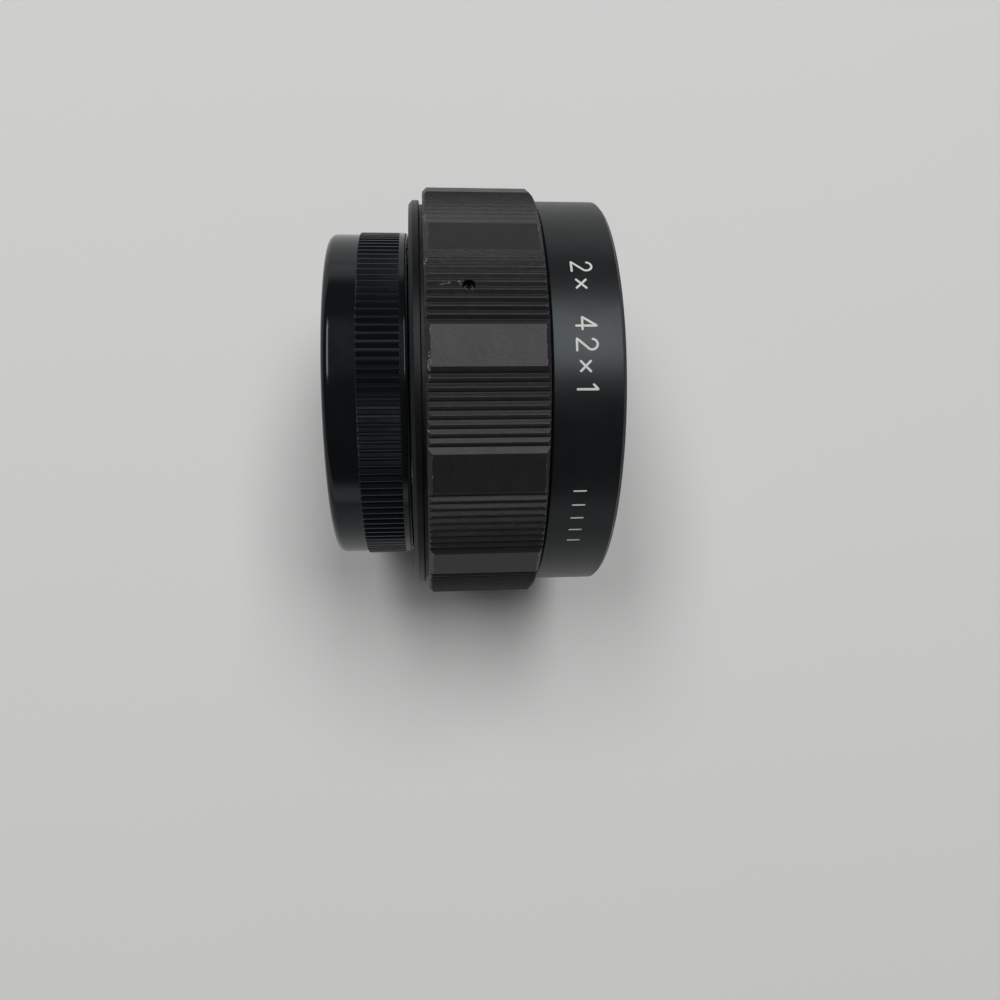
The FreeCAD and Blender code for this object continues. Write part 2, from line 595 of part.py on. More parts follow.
def element_spacer():
    """Ring between the rim of the third element and the rear element."""
    _, _, front_x, _ = rear_group_vertices()
    rear_x = front_x - sag(REAR_ELEMENT_FRONT_R, REAR_RING_BORE_R) + CEMENT
    front = third_element_edge_x() - CEMENT
    return turned([(rear_x, REAR_RING_BORE_R), (rear_x, REAR_GLASS_R), (front, REAR_GLASS_R),
                   (front, REAR_RING_BORE_R)])


def slotted_ring(rear_x, front_x, bore_r, outer_r, slot_x):
    """Retaining ring with two slots for a spanner in one face."""
    ring = turned([(rear_x, bore_r), (rear_x, outer_r), (front_x, outer_r), (front_x, bore_r)])
    slot = block_between(slot_x - RING_SLOT_D, slot_x + RING_SLOT_D, -outer_r - 1, outer_r + 1,
                         -RING_SLOT_W / 2, RING_SLOT_W / 2)
    return ring.cut(slot)


def front_retaining_ring():
    """Holds the cemented pair on the stop."""
    front_x, _, _ = doublet_vertices()
    rear_x = front_x - sag(FRONT_ELEMENT_FRONT_R, FRONT_RING_BORE_R) + CEMENT
    face_x = rear_x + FRONT_RING_L
    return slotted_ring(rear_x, face_x, FRONT_RING_BORE_R, FRONT_BORE_R - SLIP, face_x)


def rear_ring_face_x():
    """Rear face of the ring that holds the rear group."""
    _, _, _, rear_x = rear_group_vertices()
    return rear_x + sag(REAR_ELEMENT_REAR_R, REAR_RING_BORE_R) - CEMENT - REAR_RING_L


def rear_retaining_ring():
    """Holds the rear group."""
    face_x = rear_ring_face_x()
    return slotted_ring(face_x, face_x + REAR_RING_L, REAR_RING_BORE_R, REAR_BORE_R - SLIP, face_x)


def pusher_plate():
    """Crescent that meets the diaphragm pin of the lens wherever its thread ends."""
    ring = turned([(PLATE_X, PLATE_INNER_R), (PLATE_X, PLATE_OUTER_R), (PLATE_FRONT_X, PLATE_OUTER_R),
                   (PLATE_FRONT_X, PLATE_INNER_R)])
    reach = 2 * PLATE_OUTER_R
    fan = [polar(PLATE_X - 1, 0, 0)]
    fan += [polar(PLATE_X - 1, reach, PIN_ANGLE_DEG + s * PLATE_HALF_DEG) for s in (-1, 0, 1)]
    sector = Part.Face(Part.makePolygon(fan + [fan[0]])).extrude(Vec(PLATE_T + 2, 0, 0))
    plate = ring.common(sector)
    ends = [e for e in plate.Edges if abs(e.Length - PLATE_T) < 1e-6]
    plate = plate.makeFillet(PLATE_END_ROUND, ends)
    holes = [rod(PLATE_X - 1, PLATE_FRONT_X + 1, ROD_R + SLIP, ROD_RING_R, a) for _, a in rod_angles()]
    holes.append(rod(PLATE_X - 1, PLATE_FRONT_X + 1, PIN_R + SLIP, PIN_RING_R, PIN_ANGLE_DEG))
    return plate.cut(holes)


def actuator_pin():
    """Pin that the camera pushes, with a round tip and a riveting shoulder."""
    tip_x = PIN_TIP_X + PIN_R
    stem = rod(tip_x, PLATE_FRONT_X, PIN_R, PIN_RING_R, PIN_ANGLE_DEG)
    tip = Part.makeSphere(PIN_R, polar(tip_x, PIN_RING_R, PIN_ANGLE_DEG))
    shoulder = rod(PLATE_X - PIN_SHOULDER_L, PLATE_X, PIN_R + PIN_SHOULDER_RIM, PIN_RING_R, PIN_ANGLE_DEG)
    return stem.fuse([tip, shoulder])


def guide_rod(angle):
    """Stepped rod: thin through the bush, thick up to the plate."""
    stem = rod(ROD_REAR_X, PLATE_FRONT_X, ROD_R, ROD_RING_R, angle)
    shoulder = rod(BUSH_FRONT_X + STOP_GAP, PLATE_X, ROD_R + ROD_SHOULDER_RIM, ROD_RING_R, angle)
    return stem.fuse(shoulder)


def guide_bush(angle):
    """Flanged brass bush in the partition."""
    body = rod(PARTITION_X - BUSH_TAIL_L, BUSH_FRONT_X, BUSH_R, ROD_RING_R, angle)
    flange = rod(PARTITION_FRONT_X, BUSH_FRONT_X, BUSH_FLANGE_R, ROD_RING_R, angle)
    bore = rod(PARTITION_X - BUSH_TAIL_L - 1, BUSH_FRONT_X + 1, BUSH_BORE_R, ROD_RING_R, angle)
    return body.fuse(flange).cut(bore)


def spring_seat(angle):
    """Collar on the rear end of a rod."""
    collar = rod(ROD_REAR_X, ROD_REAR_X + COLLAR_T, COLLAR_R, ROD_RING_R, angle)
    return collar.cut(rod(ROD_REAR_X - 1, ROD_REAR_X + COLLAR_T + 1, COLLAR_BORE_R, ROD_RING_R, angle))


def biarc(p0, t0, p1, t1):
    """Two arcs from p0 to p1 that leave along t0 and arrive along t1."""
    v = p1 - p0
    t = t0 + t1
    spread = 2 * (1 - t0.dot(t1))
    d = (math.sqrt(v.dot(t) ** 2 + spread * v.dot(v)) - v.dot(t)) / spread
    q0 = p0 + t0 * d
    q1 = p1 - t1 * d
    meet = (q0 + q1) * 0.5
    arcs = []
    for a, q, b in ((p0, q0, meet), (meet, q1, p1)):
        middle = (a + b) * 0.5
        half = (b - a).Length / 2
        rise = (q - middle).Length
        bulge = half * math.tan(math.atan2(rise, half) / 2)
        arcs.append(Part.Arc(a, middle + (q - middle) * (bulge / rise), b).toShape())
    return arcs


def return_spring(angle):
    """Coil of round wire between the seat and the bush."""
    x0 = ROD_REAR_X + COLLAR_T + SPRING_WIRE_R + STOP_GAP
    x1 = PARTITION_X - BUSH_TAIL_L - SPRING_WIRE_R - STOP_GAP
    centre = polar(0, ROD_RING_R, angle)
    steps = 2 * SPRING_TURNS
    rise = (x1 - x0) / steps
    turn = math.pi

    def place(i):
        a = i * turn
        return centre + Vec(x0 + i * rise, SPRING_MEAN_R * math.cos(a), SPRING_MEAN_R * math.sin(a))

    def heading(i):
        a = i * turn
        way = Vec(rise / turn, -SPRING_MEAN_R * math.sin(a), SPRING_MEAN_R * math.cos(a))
        return way.normalize()

    edges = []
    for i in range(steps):
        for h in (0.0, 0.5):
            edges += biarc(place(i + h), heading(i + h), place(i + h + 0.5), heading(i + h + 0.5))
    path = Part.Wire(edges)
    section = Part.Wire(Part.makeCircle(SPRING_WIRE_R, place(0), heading(0)))
    return path.makePipeShell([section], True, False)


def cap_knurl():
    """Ring of fine straight ribs."""
    step = 360.0 / CAP_RIBS
    land = step * CAP_RIB_LAND_SHARE
    outline = []
    for i in range(CAP_RIBS):
        outline.append((CAP_R, i * step))
        outline.append((CAP_R, i * step + land))
        outline.append((CAP_BAND_R, (i + 0.5) * step + land / 2))
    return toothed_prism(outline, CAP_KNURL_X, CAP_KNURL_L, CAP_BORE_R)


def cap_blank():
    """Turned cup with a rounded closed end and a rounded lip."""
    thread_x = CAP_LIP_X - CAP_THREAD_L
    floor_x = CAP_END_X + CAP_END_T
    step_x = CAP_END_X + CAP_END_STEP
    end_start, end_arc, end_stop = corner(CAP_END_X, CAP_BAND_R, (0, 1), (1, 0), CAP_END_ROUND)
    lip_start, lip_arc, lip_stop = corner(CAP_LIP_X, CAP_R, (1, 0), (0, -1), CAP_LIP_ROUND)
    run = [(step_x, 0), (step_x, CAP_STEP_R), (CAP_END_X, CAP_STEP_R), end_start]
    edges = lines(run) + [end_arc]
    run = [end_stop, (CAP_KNURL_END_X, CAP_BAND_R), (CAP_KNURL_END_X, CAP_R), lip_start]
    edges += lines(run) + [lip_arc]
    run = [lip_stop, (CAP_LIP_X, CAP_BORE_R + LEAD_IN), (CAP_LIP_X - LEAD_IN, CAP_BORE_R),
           (thread_x, CAP_BORE_R), (thread_x, CAP_CAVITY_R), (floor_x, CAP_CAVITY_R), (floor_x, 0),
           (step_x, 0)]
    edges += lines(run)
    return turned_edges(edges)


def rear_cap():
    """Screw-on cap with a knurled band."""
    return cap_blank().fuse(cap_knurl())


def parts():
    """Every node's name and shape."""
    made = {
        "main_barrel": main_barrel(),
        "grip_ring": grip_ring(),
        "grip_set_screws": grip_set_screws(),
        "rear_flange": rear_flange(),
        "rear_mount_ring": rear_mount_ring(),
        "rear_mount_screws": rear_mount_screws(),
        "rear_baffle": rear_baffle(),
        "front_mount_ring": front_mount_ring(),
        "front_mount_screws": front_mount_screws(),
        "front_mount_shim": front_mount_shim(),
        "lens_block": lens_block(),
        "lens_block_nut": lens_block_nut(),
        "front_element": front_element(),
        "front_doublet_element": front_doublet_element(),
        "third_element": third_element(),
        "rear_element": rear_element(),
        "element_spacer": element_spacer(),
        "front_retaining_ring": front_retaining_ring(),
        "rear_retaining_ring": rear_retaining_ring(),
        "pusher_plate": pusher_plate(),
        "actuator_pin": actuator_pin(),
        "rear_cap": rear_cap(),
    }
    for side, angle in rod_angles():
        made["guide_rod_" + side] = guide_rod(angle)
        made["guide_bush_" + side] = guide_bush(angle)
        made["spring_seat_" + side] = spring_seat(angle)
        made["return_spring_" + side] = return_spring(angle)
    return made


os.makedirs("parts", exist_ok=True)
for name, shape in parts().items():
    shape.exportStep("parts/" + name + ".step")
    solids = len(shape.Solids)
    print(f"{name}: {solids} solid, {shape.Volume:.2f} mm3, valid {shape.isValid()}")
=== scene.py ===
"""Looks of a screw-mount teleconverter that lies on one flat of its grip, with its rear cap on.

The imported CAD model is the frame: X is the optical axis, from the camera side to the lens side, +Z is
up, and the origin lies on the axis at the rear seating face. Sizes in the classes are in millimetres,
and everything in the scene is in metres. Angles round the axis are counted from +Z towards -Y.
"""
from __future__ import annotations

import json
import logging
import math
from dataclasses import dataclass, field, replace
from enum import Enum
from typing import Callable, Iterable, Sequence

import bmesh
import bpy
from mathutils import Matrix, Vector

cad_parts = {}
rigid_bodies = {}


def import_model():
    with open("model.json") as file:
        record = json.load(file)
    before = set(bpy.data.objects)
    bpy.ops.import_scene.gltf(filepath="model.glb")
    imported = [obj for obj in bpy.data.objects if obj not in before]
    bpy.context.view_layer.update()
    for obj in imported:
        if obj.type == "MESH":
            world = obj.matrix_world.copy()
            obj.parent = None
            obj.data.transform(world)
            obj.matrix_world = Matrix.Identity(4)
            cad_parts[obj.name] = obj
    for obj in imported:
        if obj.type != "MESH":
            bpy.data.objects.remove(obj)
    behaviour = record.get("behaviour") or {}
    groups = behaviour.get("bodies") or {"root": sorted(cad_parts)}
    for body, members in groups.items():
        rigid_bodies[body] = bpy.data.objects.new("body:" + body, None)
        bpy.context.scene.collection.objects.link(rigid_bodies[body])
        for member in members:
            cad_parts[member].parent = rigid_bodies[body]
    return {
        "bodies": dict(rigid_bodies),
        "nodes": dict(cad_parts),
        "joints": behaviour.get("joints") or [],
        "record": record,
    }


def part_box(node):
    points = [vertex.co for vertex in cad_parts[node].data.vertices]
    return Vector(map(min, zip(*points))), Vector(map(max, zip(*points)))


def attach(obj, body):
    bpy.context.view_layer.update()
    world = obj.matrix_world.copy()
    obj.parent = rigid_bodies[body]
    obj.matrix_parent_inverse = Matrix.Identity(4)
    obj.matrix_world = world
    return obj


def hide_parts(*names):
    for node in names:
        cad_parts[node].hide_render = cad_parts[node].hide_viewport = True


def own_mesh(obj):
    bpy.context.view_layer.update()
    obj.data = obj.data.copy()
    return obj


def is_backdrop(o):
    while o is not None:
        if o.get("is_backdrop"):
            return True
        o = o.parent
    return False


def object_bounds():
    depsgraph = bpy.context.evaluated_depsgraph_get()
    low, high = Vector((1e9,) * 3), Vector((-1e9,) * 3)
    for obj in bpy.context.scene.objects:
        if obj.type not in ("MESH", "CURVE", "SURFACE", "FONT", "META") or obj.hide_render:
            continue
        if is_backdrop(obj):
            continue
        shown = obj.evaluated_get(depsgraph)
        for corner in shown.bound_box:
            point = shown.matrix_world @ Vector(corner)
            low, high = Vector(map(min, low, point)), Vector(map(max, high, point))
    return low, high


LOG = logging.getLogger("teleconverter")
MM = 0.001
WELD = 1e-7            # points closer than this, in metres, become one
TINY = 1e-6            # sides of an outline shorter than this, in millimetres, are no sides
STRAIGHT = 5e-5        # a knee within this of straight, in radians, isn't rounded
SHARP_DEG = 33.0       # edges that turn more than this stay crisp
WEAR = "wear"          # the point attribute that tells worn edges
FINE, ROUND, SMALL, HOLE = 360, 256, 64, 48   # points round the skirt, an inner ring, a rod and a hole

Row = tuple[float, ...]              # a knee as plain values: u, v, round and wear
Triple = tuple[float, float, float]
Piece = bpy.types.Object
Socket = bpy.types.NodeSocket


class Body(Enum):
    """The CAD bodies that pieces ride on."""

    BARREL = "barrel"
    PUSHER = "diaphragm_pusher"
    CAP = "cap"


class Slot(Enum):
    """The record's material slots."""

    BARREL = "barrel_black"
    GRIP = "grip_black"
    CHROME = "mount_chrome"
    SCREW = "screw_steel"
    BLOCK = "block_black"
    BAFFLE = "baffle_black"
    BRASS = "brass"
    GLASS = "optical_glass"
    ROD = "rod_steel"
    PLATE = "plate_steel"
    SPRING = "spring_steel"
    CAP = "cap_plastic"


def polar(x: float, r: float, angle: float) -> Vector:
    """Point in metres from millimetres along the axis, millimetres off it and radians round it."""
    return Vector((x * MM, -r * MM * math.sin(angle), r * MM * math.cos(angle)))


def spread(count: int, first: float = 0.0) -> list[float]:
    """Even angles round a circle, in radians."""
    return [first + 2 * math.pi * k / count for k in range(count)]


def span(node: str) -> tuple[float, float]:
    """Where a CAD node starts and ends along the axis, in millimetres."""
    low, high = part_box(node)
    return low.x / MM, high.x / MM


def sag(surface_r: float, height: float) -> float:
    """Depth of a sphere of radius surface_r at a height from its axis."""
    return surface_r - math.sqrt(surface_r ** 2 - height ** 2)


def smooth(t: float) -> float:
    """Smooth step from 0 to 1, held at its ends."""
    t = min(1.0, max(0.0, t))
    return t * t * (3.0 - 2.0 * t)


@dataclass(frozen=True)
class Knee:
    """A corner of an outline, in millimetres. Its edge is rounded by a radius and may show wear."""

    u: float
    v: float
    round: float = 0.0
    wear: float = 1.0


@dataclass(frozen=True)
class Sample:
    """A point on a softened outline, in millimetres, with the wear of the edge it lies on."""

    u: float
    v: float
    wear: float = 0.0


@dataclass(frozen=True)
class Outline:
    """A line of knees, closed or open, that is softened into samples."""

    knees: tuple[Knee, ...]
    closed: bool
    steps: int
    guard: float
    room_alone: float = 0.95
    room_shared: float = 0.45

    def _turn(self) -> float:
        """Sign of the area that a closed outline goes round."""
        pairs = zip(self.knees, self.knees[1:] + self.knees[:1])
        return math.copysign(1.0, sum(a.u * b.v - b.u * a.v for a, b in pairs))

    def _softened(self, before: Knee, knee: Knee, after: Knee, turn: float) -> list[Sample]:
        """Samples of one rounded knee, always as many.

        Args:
            before: The knee before it.
            knee: The knee itself.
            after: The knee after it.
            turn: The sign from _turn, which tells outer edges from inner ones.

        Returns:
            A guard sample, the samples of the arc and another guard sample.
        """
        p, a, b = (Vector((k.u, k.v)) for k in (knee, before, after))
        sides = a - p, b - p
        limits = [side.length for side in sides]
        if min(limits) < TINY:
            return [Sample(knee.u, knee.v)] * (self.steps + 3)
        room = min(limit * (self.room_shared if other.round else self.room_alone)
                   for limit, other in zip(limits, (before, after)))
        da, db = (side.normalized() for side in sides)
        half = math.acos(max(-1.0, min(1.0, da.dot(db)))) / 2
        outer = (p - a).x * (b - p).y - (p - a).y * (b - p).x
        wear = knee.wear if outer * turn > 0 and knee.round else 0.0
        if not STRAIGHT <= half <= math.pi / 2 - STRAIGHT:
            arc, reach = [p] * (self.steps + 1), 0.0
        else:
            reach = min(knee.round / math.tan(half), room)
            radius = reach * math.tan(half)
            centre = p + (da + db).normalized() * (reach / math.cos(half))
            first, last = p + da * reach - centre, p + db * reach - centre
            start = math.atan2(first.y, first.x)
            sweep = (math.atan2(last.y, last.x) - start + math.pi) % (2 * math.pi) - math.pi
            turns = [start + sweep * k / self.steps for k in range(self.steps + 1)]
            arc = [centre + Vector((math.cos(t), math.sin(t))) * radius for t in turns]
        guards = [p + d * min(reach + self.guard, 0.5 * max(limit, 2 * reach))
                  for d, limit in zip((da, db), limits)]
        worn = [Sample(q.x, q.y, wear) for q in arc]
        return [Sample(*guards[0]), *worn, Sample(*guards[1])]

    def samples(self) -> list[Sample]:
        """The whole outline, knee by knee.

        Returns:
            Its samples.
        """
        turn, last = self._turn(), len(self.knees) - 1
        found: list[Sample] = []
        for i, knee in enumerate(self.knees):
            if not self.closed and i in (0, last):
                found.append(Sample(knee.u, knee.v))
            else:
                found += self._softened(self.knees[i - 1], knee, self.knees[(i + 1) % (last + 1)], turn)
        return found


def softened(rows: Iterable[Row], closed: bool = True, steps: int = 4, guard: float = 0.12) -> list[Sample]:
    """Softens an outline.

    Args:
        rows: Its knees as plain values.
        closed: Whether its last knee meets its first.
        steps: Facets of each rounded corner.
        guard: How far past a rounded corner the flat beside it gets a line of points.

    Returns:
        The samples.
    """
    return Outline(tuple(Knee(*row) for row in rows), closed, steps, guard).samples()


class Skin:
    """Points and faces of a mesh in the making, with wear on its points."""

    def __init__(self) -> None:
        """Starts empty."""
        self.points: list[Vector] = []
        self.wear: list[float] = []
        self.faces: list[tuple[int, ...]] = []
        self.kinds: list[int] = []

    def grid(self, rows: Sequence[Sequence[Vector]], wear: Sequence[Sequence[float]] = (),
             close_rows: bool = False, close_columns: bool = True,
             kind: Callable[[int], int] = lambda i: 0) -> None:
        """Adds a grid of quads.

        Args:
            rows: Rows of points, all as long.
            wear: The wear of each point, if they have any.
            close_rows: Whether the last row meets the first.
            close_columns: Whether the last column meets the first.
            kind: Material index of the quads between a row and the next.
        """
        start, wide, high = len(self.points), len(rows[0]), len(rows)
        for row, worn in zip(rows, wear or [[0.0] * wide] * high):
            self.points.extend(row)
            self.wear.extend(worn)
        for i in range(high if close_rows else high - 1):
            a, b = start + i * wide, start + ((i + 1) % high) * wide
            for j in range(wide if close_columns else wide - 1):
                k = (j + 1) % wide
                self.faces.append((a + j, a + k, b + k, b + j))
                self.kinds.append(kind(i))

    def closed_bar(self, rows: Sequence[Sequence[Vector]], wear: Sequence[Sequence[float]] = ()) -> None:
        """Adds a grid whose first and last row are closed with a face each.

        Args:
            rows: As in grid.
            wear: As in grid.
        """
        self.grid(rows, wear)
        for ring in (rows[0], rows[-1]):
            start = len(self.points)
            self.points.extend(ring)
            self.wear.extend([0.0] * len(ring))
            self.faces.append(tuple(range(start, start + len(ring))))
            self.kinds.append(0)

    def turned(self, samples: Sequence[Sample], segments: int, centre: tuple[float, float] = (0.0, 0.0),
               closed: bool = False, kind: Callable[[int], int] = lambda i: 0) -> None:
        """Adds a surface of revolution.

        Args:
            samples: The profile, with u along the axis and v off it.
            segments: Points in each ring.
            centre: Where the piece's own axis lies, off the optical axis and round it in radians.
            closed: Whether the profile is closed.
            kind: As in grid.
        """
        offset, angles = polar(0.0, *centre), spread(segments)
        rows = [[polar(s.u, s.v, a) + offset for a in angles] for s in samples]
        self.grid(rows, [[s.wear] * segments for s in samples], closed, kind=kind)

    def piece(self, name: str, sharp_deg: float = SHARP_DEG) -> Piece:
        """Makes the object.

        Args:
            name: The piece's name.
            sharp_deg: Edges that turn more than this stay crisp.

        Returns:
            The new object, linked to the scene.
        """
        mesh = bpy.data.meshes.new(name)
        mesh.from_pydata([tuple(p) for p in self.points], [], self.faces)
        mesh.polygons.foreach_set("material_index", self.kinds)
        mesh.attributes.new(WEAR, "FLOAT", "POINT").data.foreach_set("value", self.wear)
        work = bmesh.new()
        work.from_mesh(mesh)
        bmesh.ops.remove_doubles(work, verts=work.verts, dist=WELD)
        bmesh.ops.dissolve_degenerate(work, edges=work.edges, dist=WELD)
        bmesh.ops.recalc_face_normals(work, faces=work.faces)
        work.to_mesh(mesh)
        work.free()
        piece = bpy.data.objects.new(name, mesh)
        bpy.context.scene.collection.objects.link(piece)
        crisp(piece, sharp_deg)
        return piece


def crisp(piece: Piece, sharp_deg: float = SHARP_DEG) -> None:
    """Smooth shading, apart from edges that turn more than an angle, with wide faces left flat.

    Args:
        piece: The piece to shade.
        sharp_deg: The angle.
    """
    mesh = piece.data
    mesh.polygons.foreach_set("use_smooth", [True] * len(mesh.polygons))
    mesh.set_sharp_from_angle(angle=math.radians(sharp_deg))
    piece.modifiers.new("flat_faces", "WEIGHTED_NORMAL").keep_sharp = True


def lathe(name: str, rows: Sequence[Row], segments: int = ROUND,
          centre: tuple[float, float] = (0.0, 0.0), steps: int = 4) -> Piece:
    """A turned piece from a closed outline of knees, or an open one that starts and ends on the axis.

    Args:
        name: The piece's name.
        rows: The outline's knees as plain values.
        segments: Points in each ring.
        centre: As in Skin.turned.
        steps: Facets of each rounded corner.

    Returns:
        The new object.
    """
    closed = not rows[0][1] == rows[-1][1] == 0.0
    skin = Skin()
    skin.turned(softened(rows, closed, steps), segments, centre, closed)
    return skin.piece(name)


def _cutter(work: bmesh.types.BMesh, move: Matrix) -> Piece:
    """Makes a moved cutter, which drill removes, and frees what it is made from.

    Args:
        work: What it is made from.
        move: Where it goes, in metres.

    Returns:
        The cutter.
    """
    mesh = bpy.data.meshes.new("cutter")
    work.to_mesh(mesh)
    work.free()
    mesh.transform(move)
    return bpy.data.objects.new("cutter", mesh)


def bar(r: float, base: Vector, tip: Vector, r_tip: float | None = None) -> Piece:
    """A round cutter between two points in metres, straight or tapered.

    Args:
        r: Radius at the base, in millimetres.
        base: Centre of one end.
        tip: Centre of the other end.
        r_tip: Radius there, if it differs.

    Returns:
        The cutter.
    """
    work = bmesh.new()
    bmesh.ops.create_cone(work, cap_ends=True, segments=HOLE, radius1=r * MM,
                          radius2=(r if r_tip is None else r_tip) * MM, depth=(tip - base).length)
    turn = (tip - base).to_track_quat("Z", "Y").to_matrix().to_4x4()
    return _cutter(work, Matrix.Translation((base + tip) / 2) @ turn)


def block(low: Vector, high: Vector, angle: float = 0.0) -> Piece:
    """A box cutter between two corners in metres, turned about the X axis.

    Args:
        low: Its lowest corner before the turn.
        high: Its highest corner before the turn.
        angle: The turn, in radians.

    Returns:
        The cutter.
    """
    work = bmesh.new()
    bmesh.ops.create_cube(work, size=1.0)
    size = Matrix.Diagonal((*(high - low), 1.0))
    return _cutter(work, Matrix.Rotation(angle, 4, "X") @ Matrix.Translation((low + high) / 2) @ size)


def drill(piece: Piece, cutters: Iterable[Piece]) -> None:
    """Cuts the cutters out of a piece and removes them.

    Args:
        piece: The piece that is cut.
        cutters: What is cut out of it, one after the other.
    """
    for cutter in cutters:
        bpy.context.scene.collection.objects.link(cutter)
        cut = piece.modifiers.new("cut", "BOOLEAN")
        cut.operation, cut.solver, cut.object = "DIFFERENCE", "EXACT", cutter
        graph = bpy.context.evaluated_depsgraph_get()
        mesh = bpy.data.meshes.new_from_object(piece.evaluated_get(graph))
        piece.modifiers.clear()
        piece.data = mesh
        bpy.data.objects.remove(cutter)
    crisp(piece)


@dataclass(frozen=True)
class Thread:
    """A helical screw thread about the optical axis, in millimetres, from start to stop.

    Its mouth is the end that has the lead-in chamfer. It fades towards the other end.
    """

    start: float
    stop: float
    crest_r: float
    root_r: float
    mouth: float
    pitch: float = 1.0
    lead_in: float = 0.4
    fade: float = 0.5
    rows_per_turn: int = 12
    crest_share: float = 0.14
    root_share: float = 0.2

    def _depth(self, phase: float) -> float:
        """Share from crest, 0, to root, 1, at a phase of the pitch.

        Args:
            phase: Pitches from the middle of a crest.

        Returns:
            The share.
        """
        off = abs((phase + 0.5) % 1.0 - 0.5)
        half_crest, half_root = self.crest_share / 2, self.root_share / 2
        return min(1.0, max(0.0, (off - half_crest) / (0.5 - half_root - half_crest)))

    def _radius(self, x: float, angle: float) -> float:
        """Radius of the threaded wall at a place along the axis and an angle in radians.

        Args:
            x: The place along the axis.
            angle: The angle round it.

        Returns:
            The radius in millimetres.
        """
        r = self.crest_r + (self.root_r - self.crest_r) * self._depth(x / self.pitch - angle / (2 * math.pi))
        inner_end = self.stop if self.mouth == self.start else self.start
        r = self.end_r + (r - self.end_r) * smooth(abs(x - inner_end) / self.fade)
        edge = self.mouth_r + (self.crest_r - self.mouth_r) * abs(x - self.mouth) / self.lead_in
        return min(r, edge) if self.root_r < self.crest_r else max(r, edge)

    @property
    def end_r(self) -> float:
        """Radius at the inner end: a male thread runs out into a relief groove."""
        return min(self.root_r, self.crest_r)

    @property
    def mouth_r(self) -> float:
        """Radius at the mouth's chamfer."""
        return self.crest_r + math.copysign(self.lead_in, self.root_r - self.crest_r)

    def onto(self, skin: Skin, segments: int) -> None:
        """Adds the threaded wall to a skin, row by row along the helix.

        Args:
            skin: The skin to add to.
            segments: Points round the axis, as on the rest of the piece.
        """
        turns = math.ceil((self.stop - self.start) / self.pitch) + 1
        rows: list[list[Vector]] = []
        for v in range(turns * self.rows_per_turn + 1):
            row = []
            for j in range(segments + 1):
                lean = j / segments
                x = self.start + self.pitch * (v / self.rows_per_turn + lean - 1)
                x = min(self.stop, max(self.start, x))
                row.append(polar(x, self._radius(x, 2 * math.pi * lean), 2 * math.pi * lean))
            rows.append(row)
        skin.grid(rows, close_columns=False)


def threaded_ring(name: str, rows: Sequence[Row], thread: Thread) -> Piece:
    """A ring whose open outline is closed by a threaded wall.

    Args:
        name: The piece's name.
        rows: The outline's knees, from the thread's mouth round the ring to its inner end.
        thread: The thread.

    Returns:
        The new object.
    """
    skin = Skin()
    skin.turned(softened(rows, closed=False), ROUND)
    thread.onto(skin, ROUND)
    return skin.piece(name)


class Wiring:
    """Short calls that add nodes to a tree and link them."""

    def __init__(self, tree: bpy.types.NodeTree) -> None:
        """Works on one node tree."""
        self.tree = tree

    def feed(self, node: bpy.types.Node, inputs: dict[str | int, object]) -> None:
        """Links sockets, or sets values, on a node's inputs by their name or number.

        Args:
            node: The node.
            inputs: What each input gets.
        """
        for key, value in inputs.items():
            if isinstance(value, Socket):
                self.tree.links.new(value, node.inputs[key])
            else:
                node.inputs[key].default_value = value

    def node(self, kind: str, inputs: dict[str | int, object] | None = None, **settings: object
             ) -> bpy.types.Node:
        """Adds a node.

        Args:
            kind: Blender's name of the node's type, after ShaderNode.
            inputs: As in feed.
            settings: Settings of the node.

        Returns:
            The node.
        """
        node = self.tree.nodes.new(kind if kind.startswith("NodeGroup") else f"ShaderNode{kind}")
        for key, value in settings.items():
            setattr(node, key, value)
        self.feed(node, inputs or {})
        return node

    def math(self, operation: str, a: object, b: object = 0.0) -> Socket:
        """Result of a Math node."""
        return self.node("Math", {0: a, 1: b}, operation=operation).outputs[0]

    def vector(self, operation: str, a: Socket, b: object = (0.0, 0.0, 0.0)) -> Socket:
        """Result of a Vector Math node, which is a number for a length."""
        node = self.node("VectorMath", {0: a, 1: b}, operation=operation)
        return node.outputs["Value" if operation == "LENGTH" else "Vector"]

    def ramp(self, value: object, low: object, high: object, to_low: float = 0.0, to_high: float = 1.0
             ) -> Socket:
        """Result of a smooth Map Range node."""
        ends = {"Value": value, "From Min": low, "From Max": high, "To Min": to_low, "To Max": to_high}
        return self.node("MapRange", ends, interpolation_type="SMOOTHSTEP").outputs["Result"]

    def mix(self, share: object, a: object, b: object) -> Socket:
        """Colour between a and b."""
        ends = {key: end if isinstance(end, Socket) else (*end, 1.0) for key, end in ((6, a), (7, b))}
        return self.node("Mix", {0: share, **ends}, data_type="RGBA").outputs[2]

    def noise(self, place: Socket, scale: object, detail: float = 2.0) -> Socket:
        """Value of a Noise Texture node."""
        return self.node("TexNoise", {"Vector": place, "Scale": scale, "Detail": detail}).outputs["Fac"]


class Effect(Enum):
    """Shader effects that several finishes share, each one node group."""

    GRAIN = "fine_grain"
    TURNING = "turning_lines"
    EDGE_WEAR = "edge_wear"
    DUST = "dust_specks"
    TONE = "tone_drift"
    HANDLING = "handling_marks"


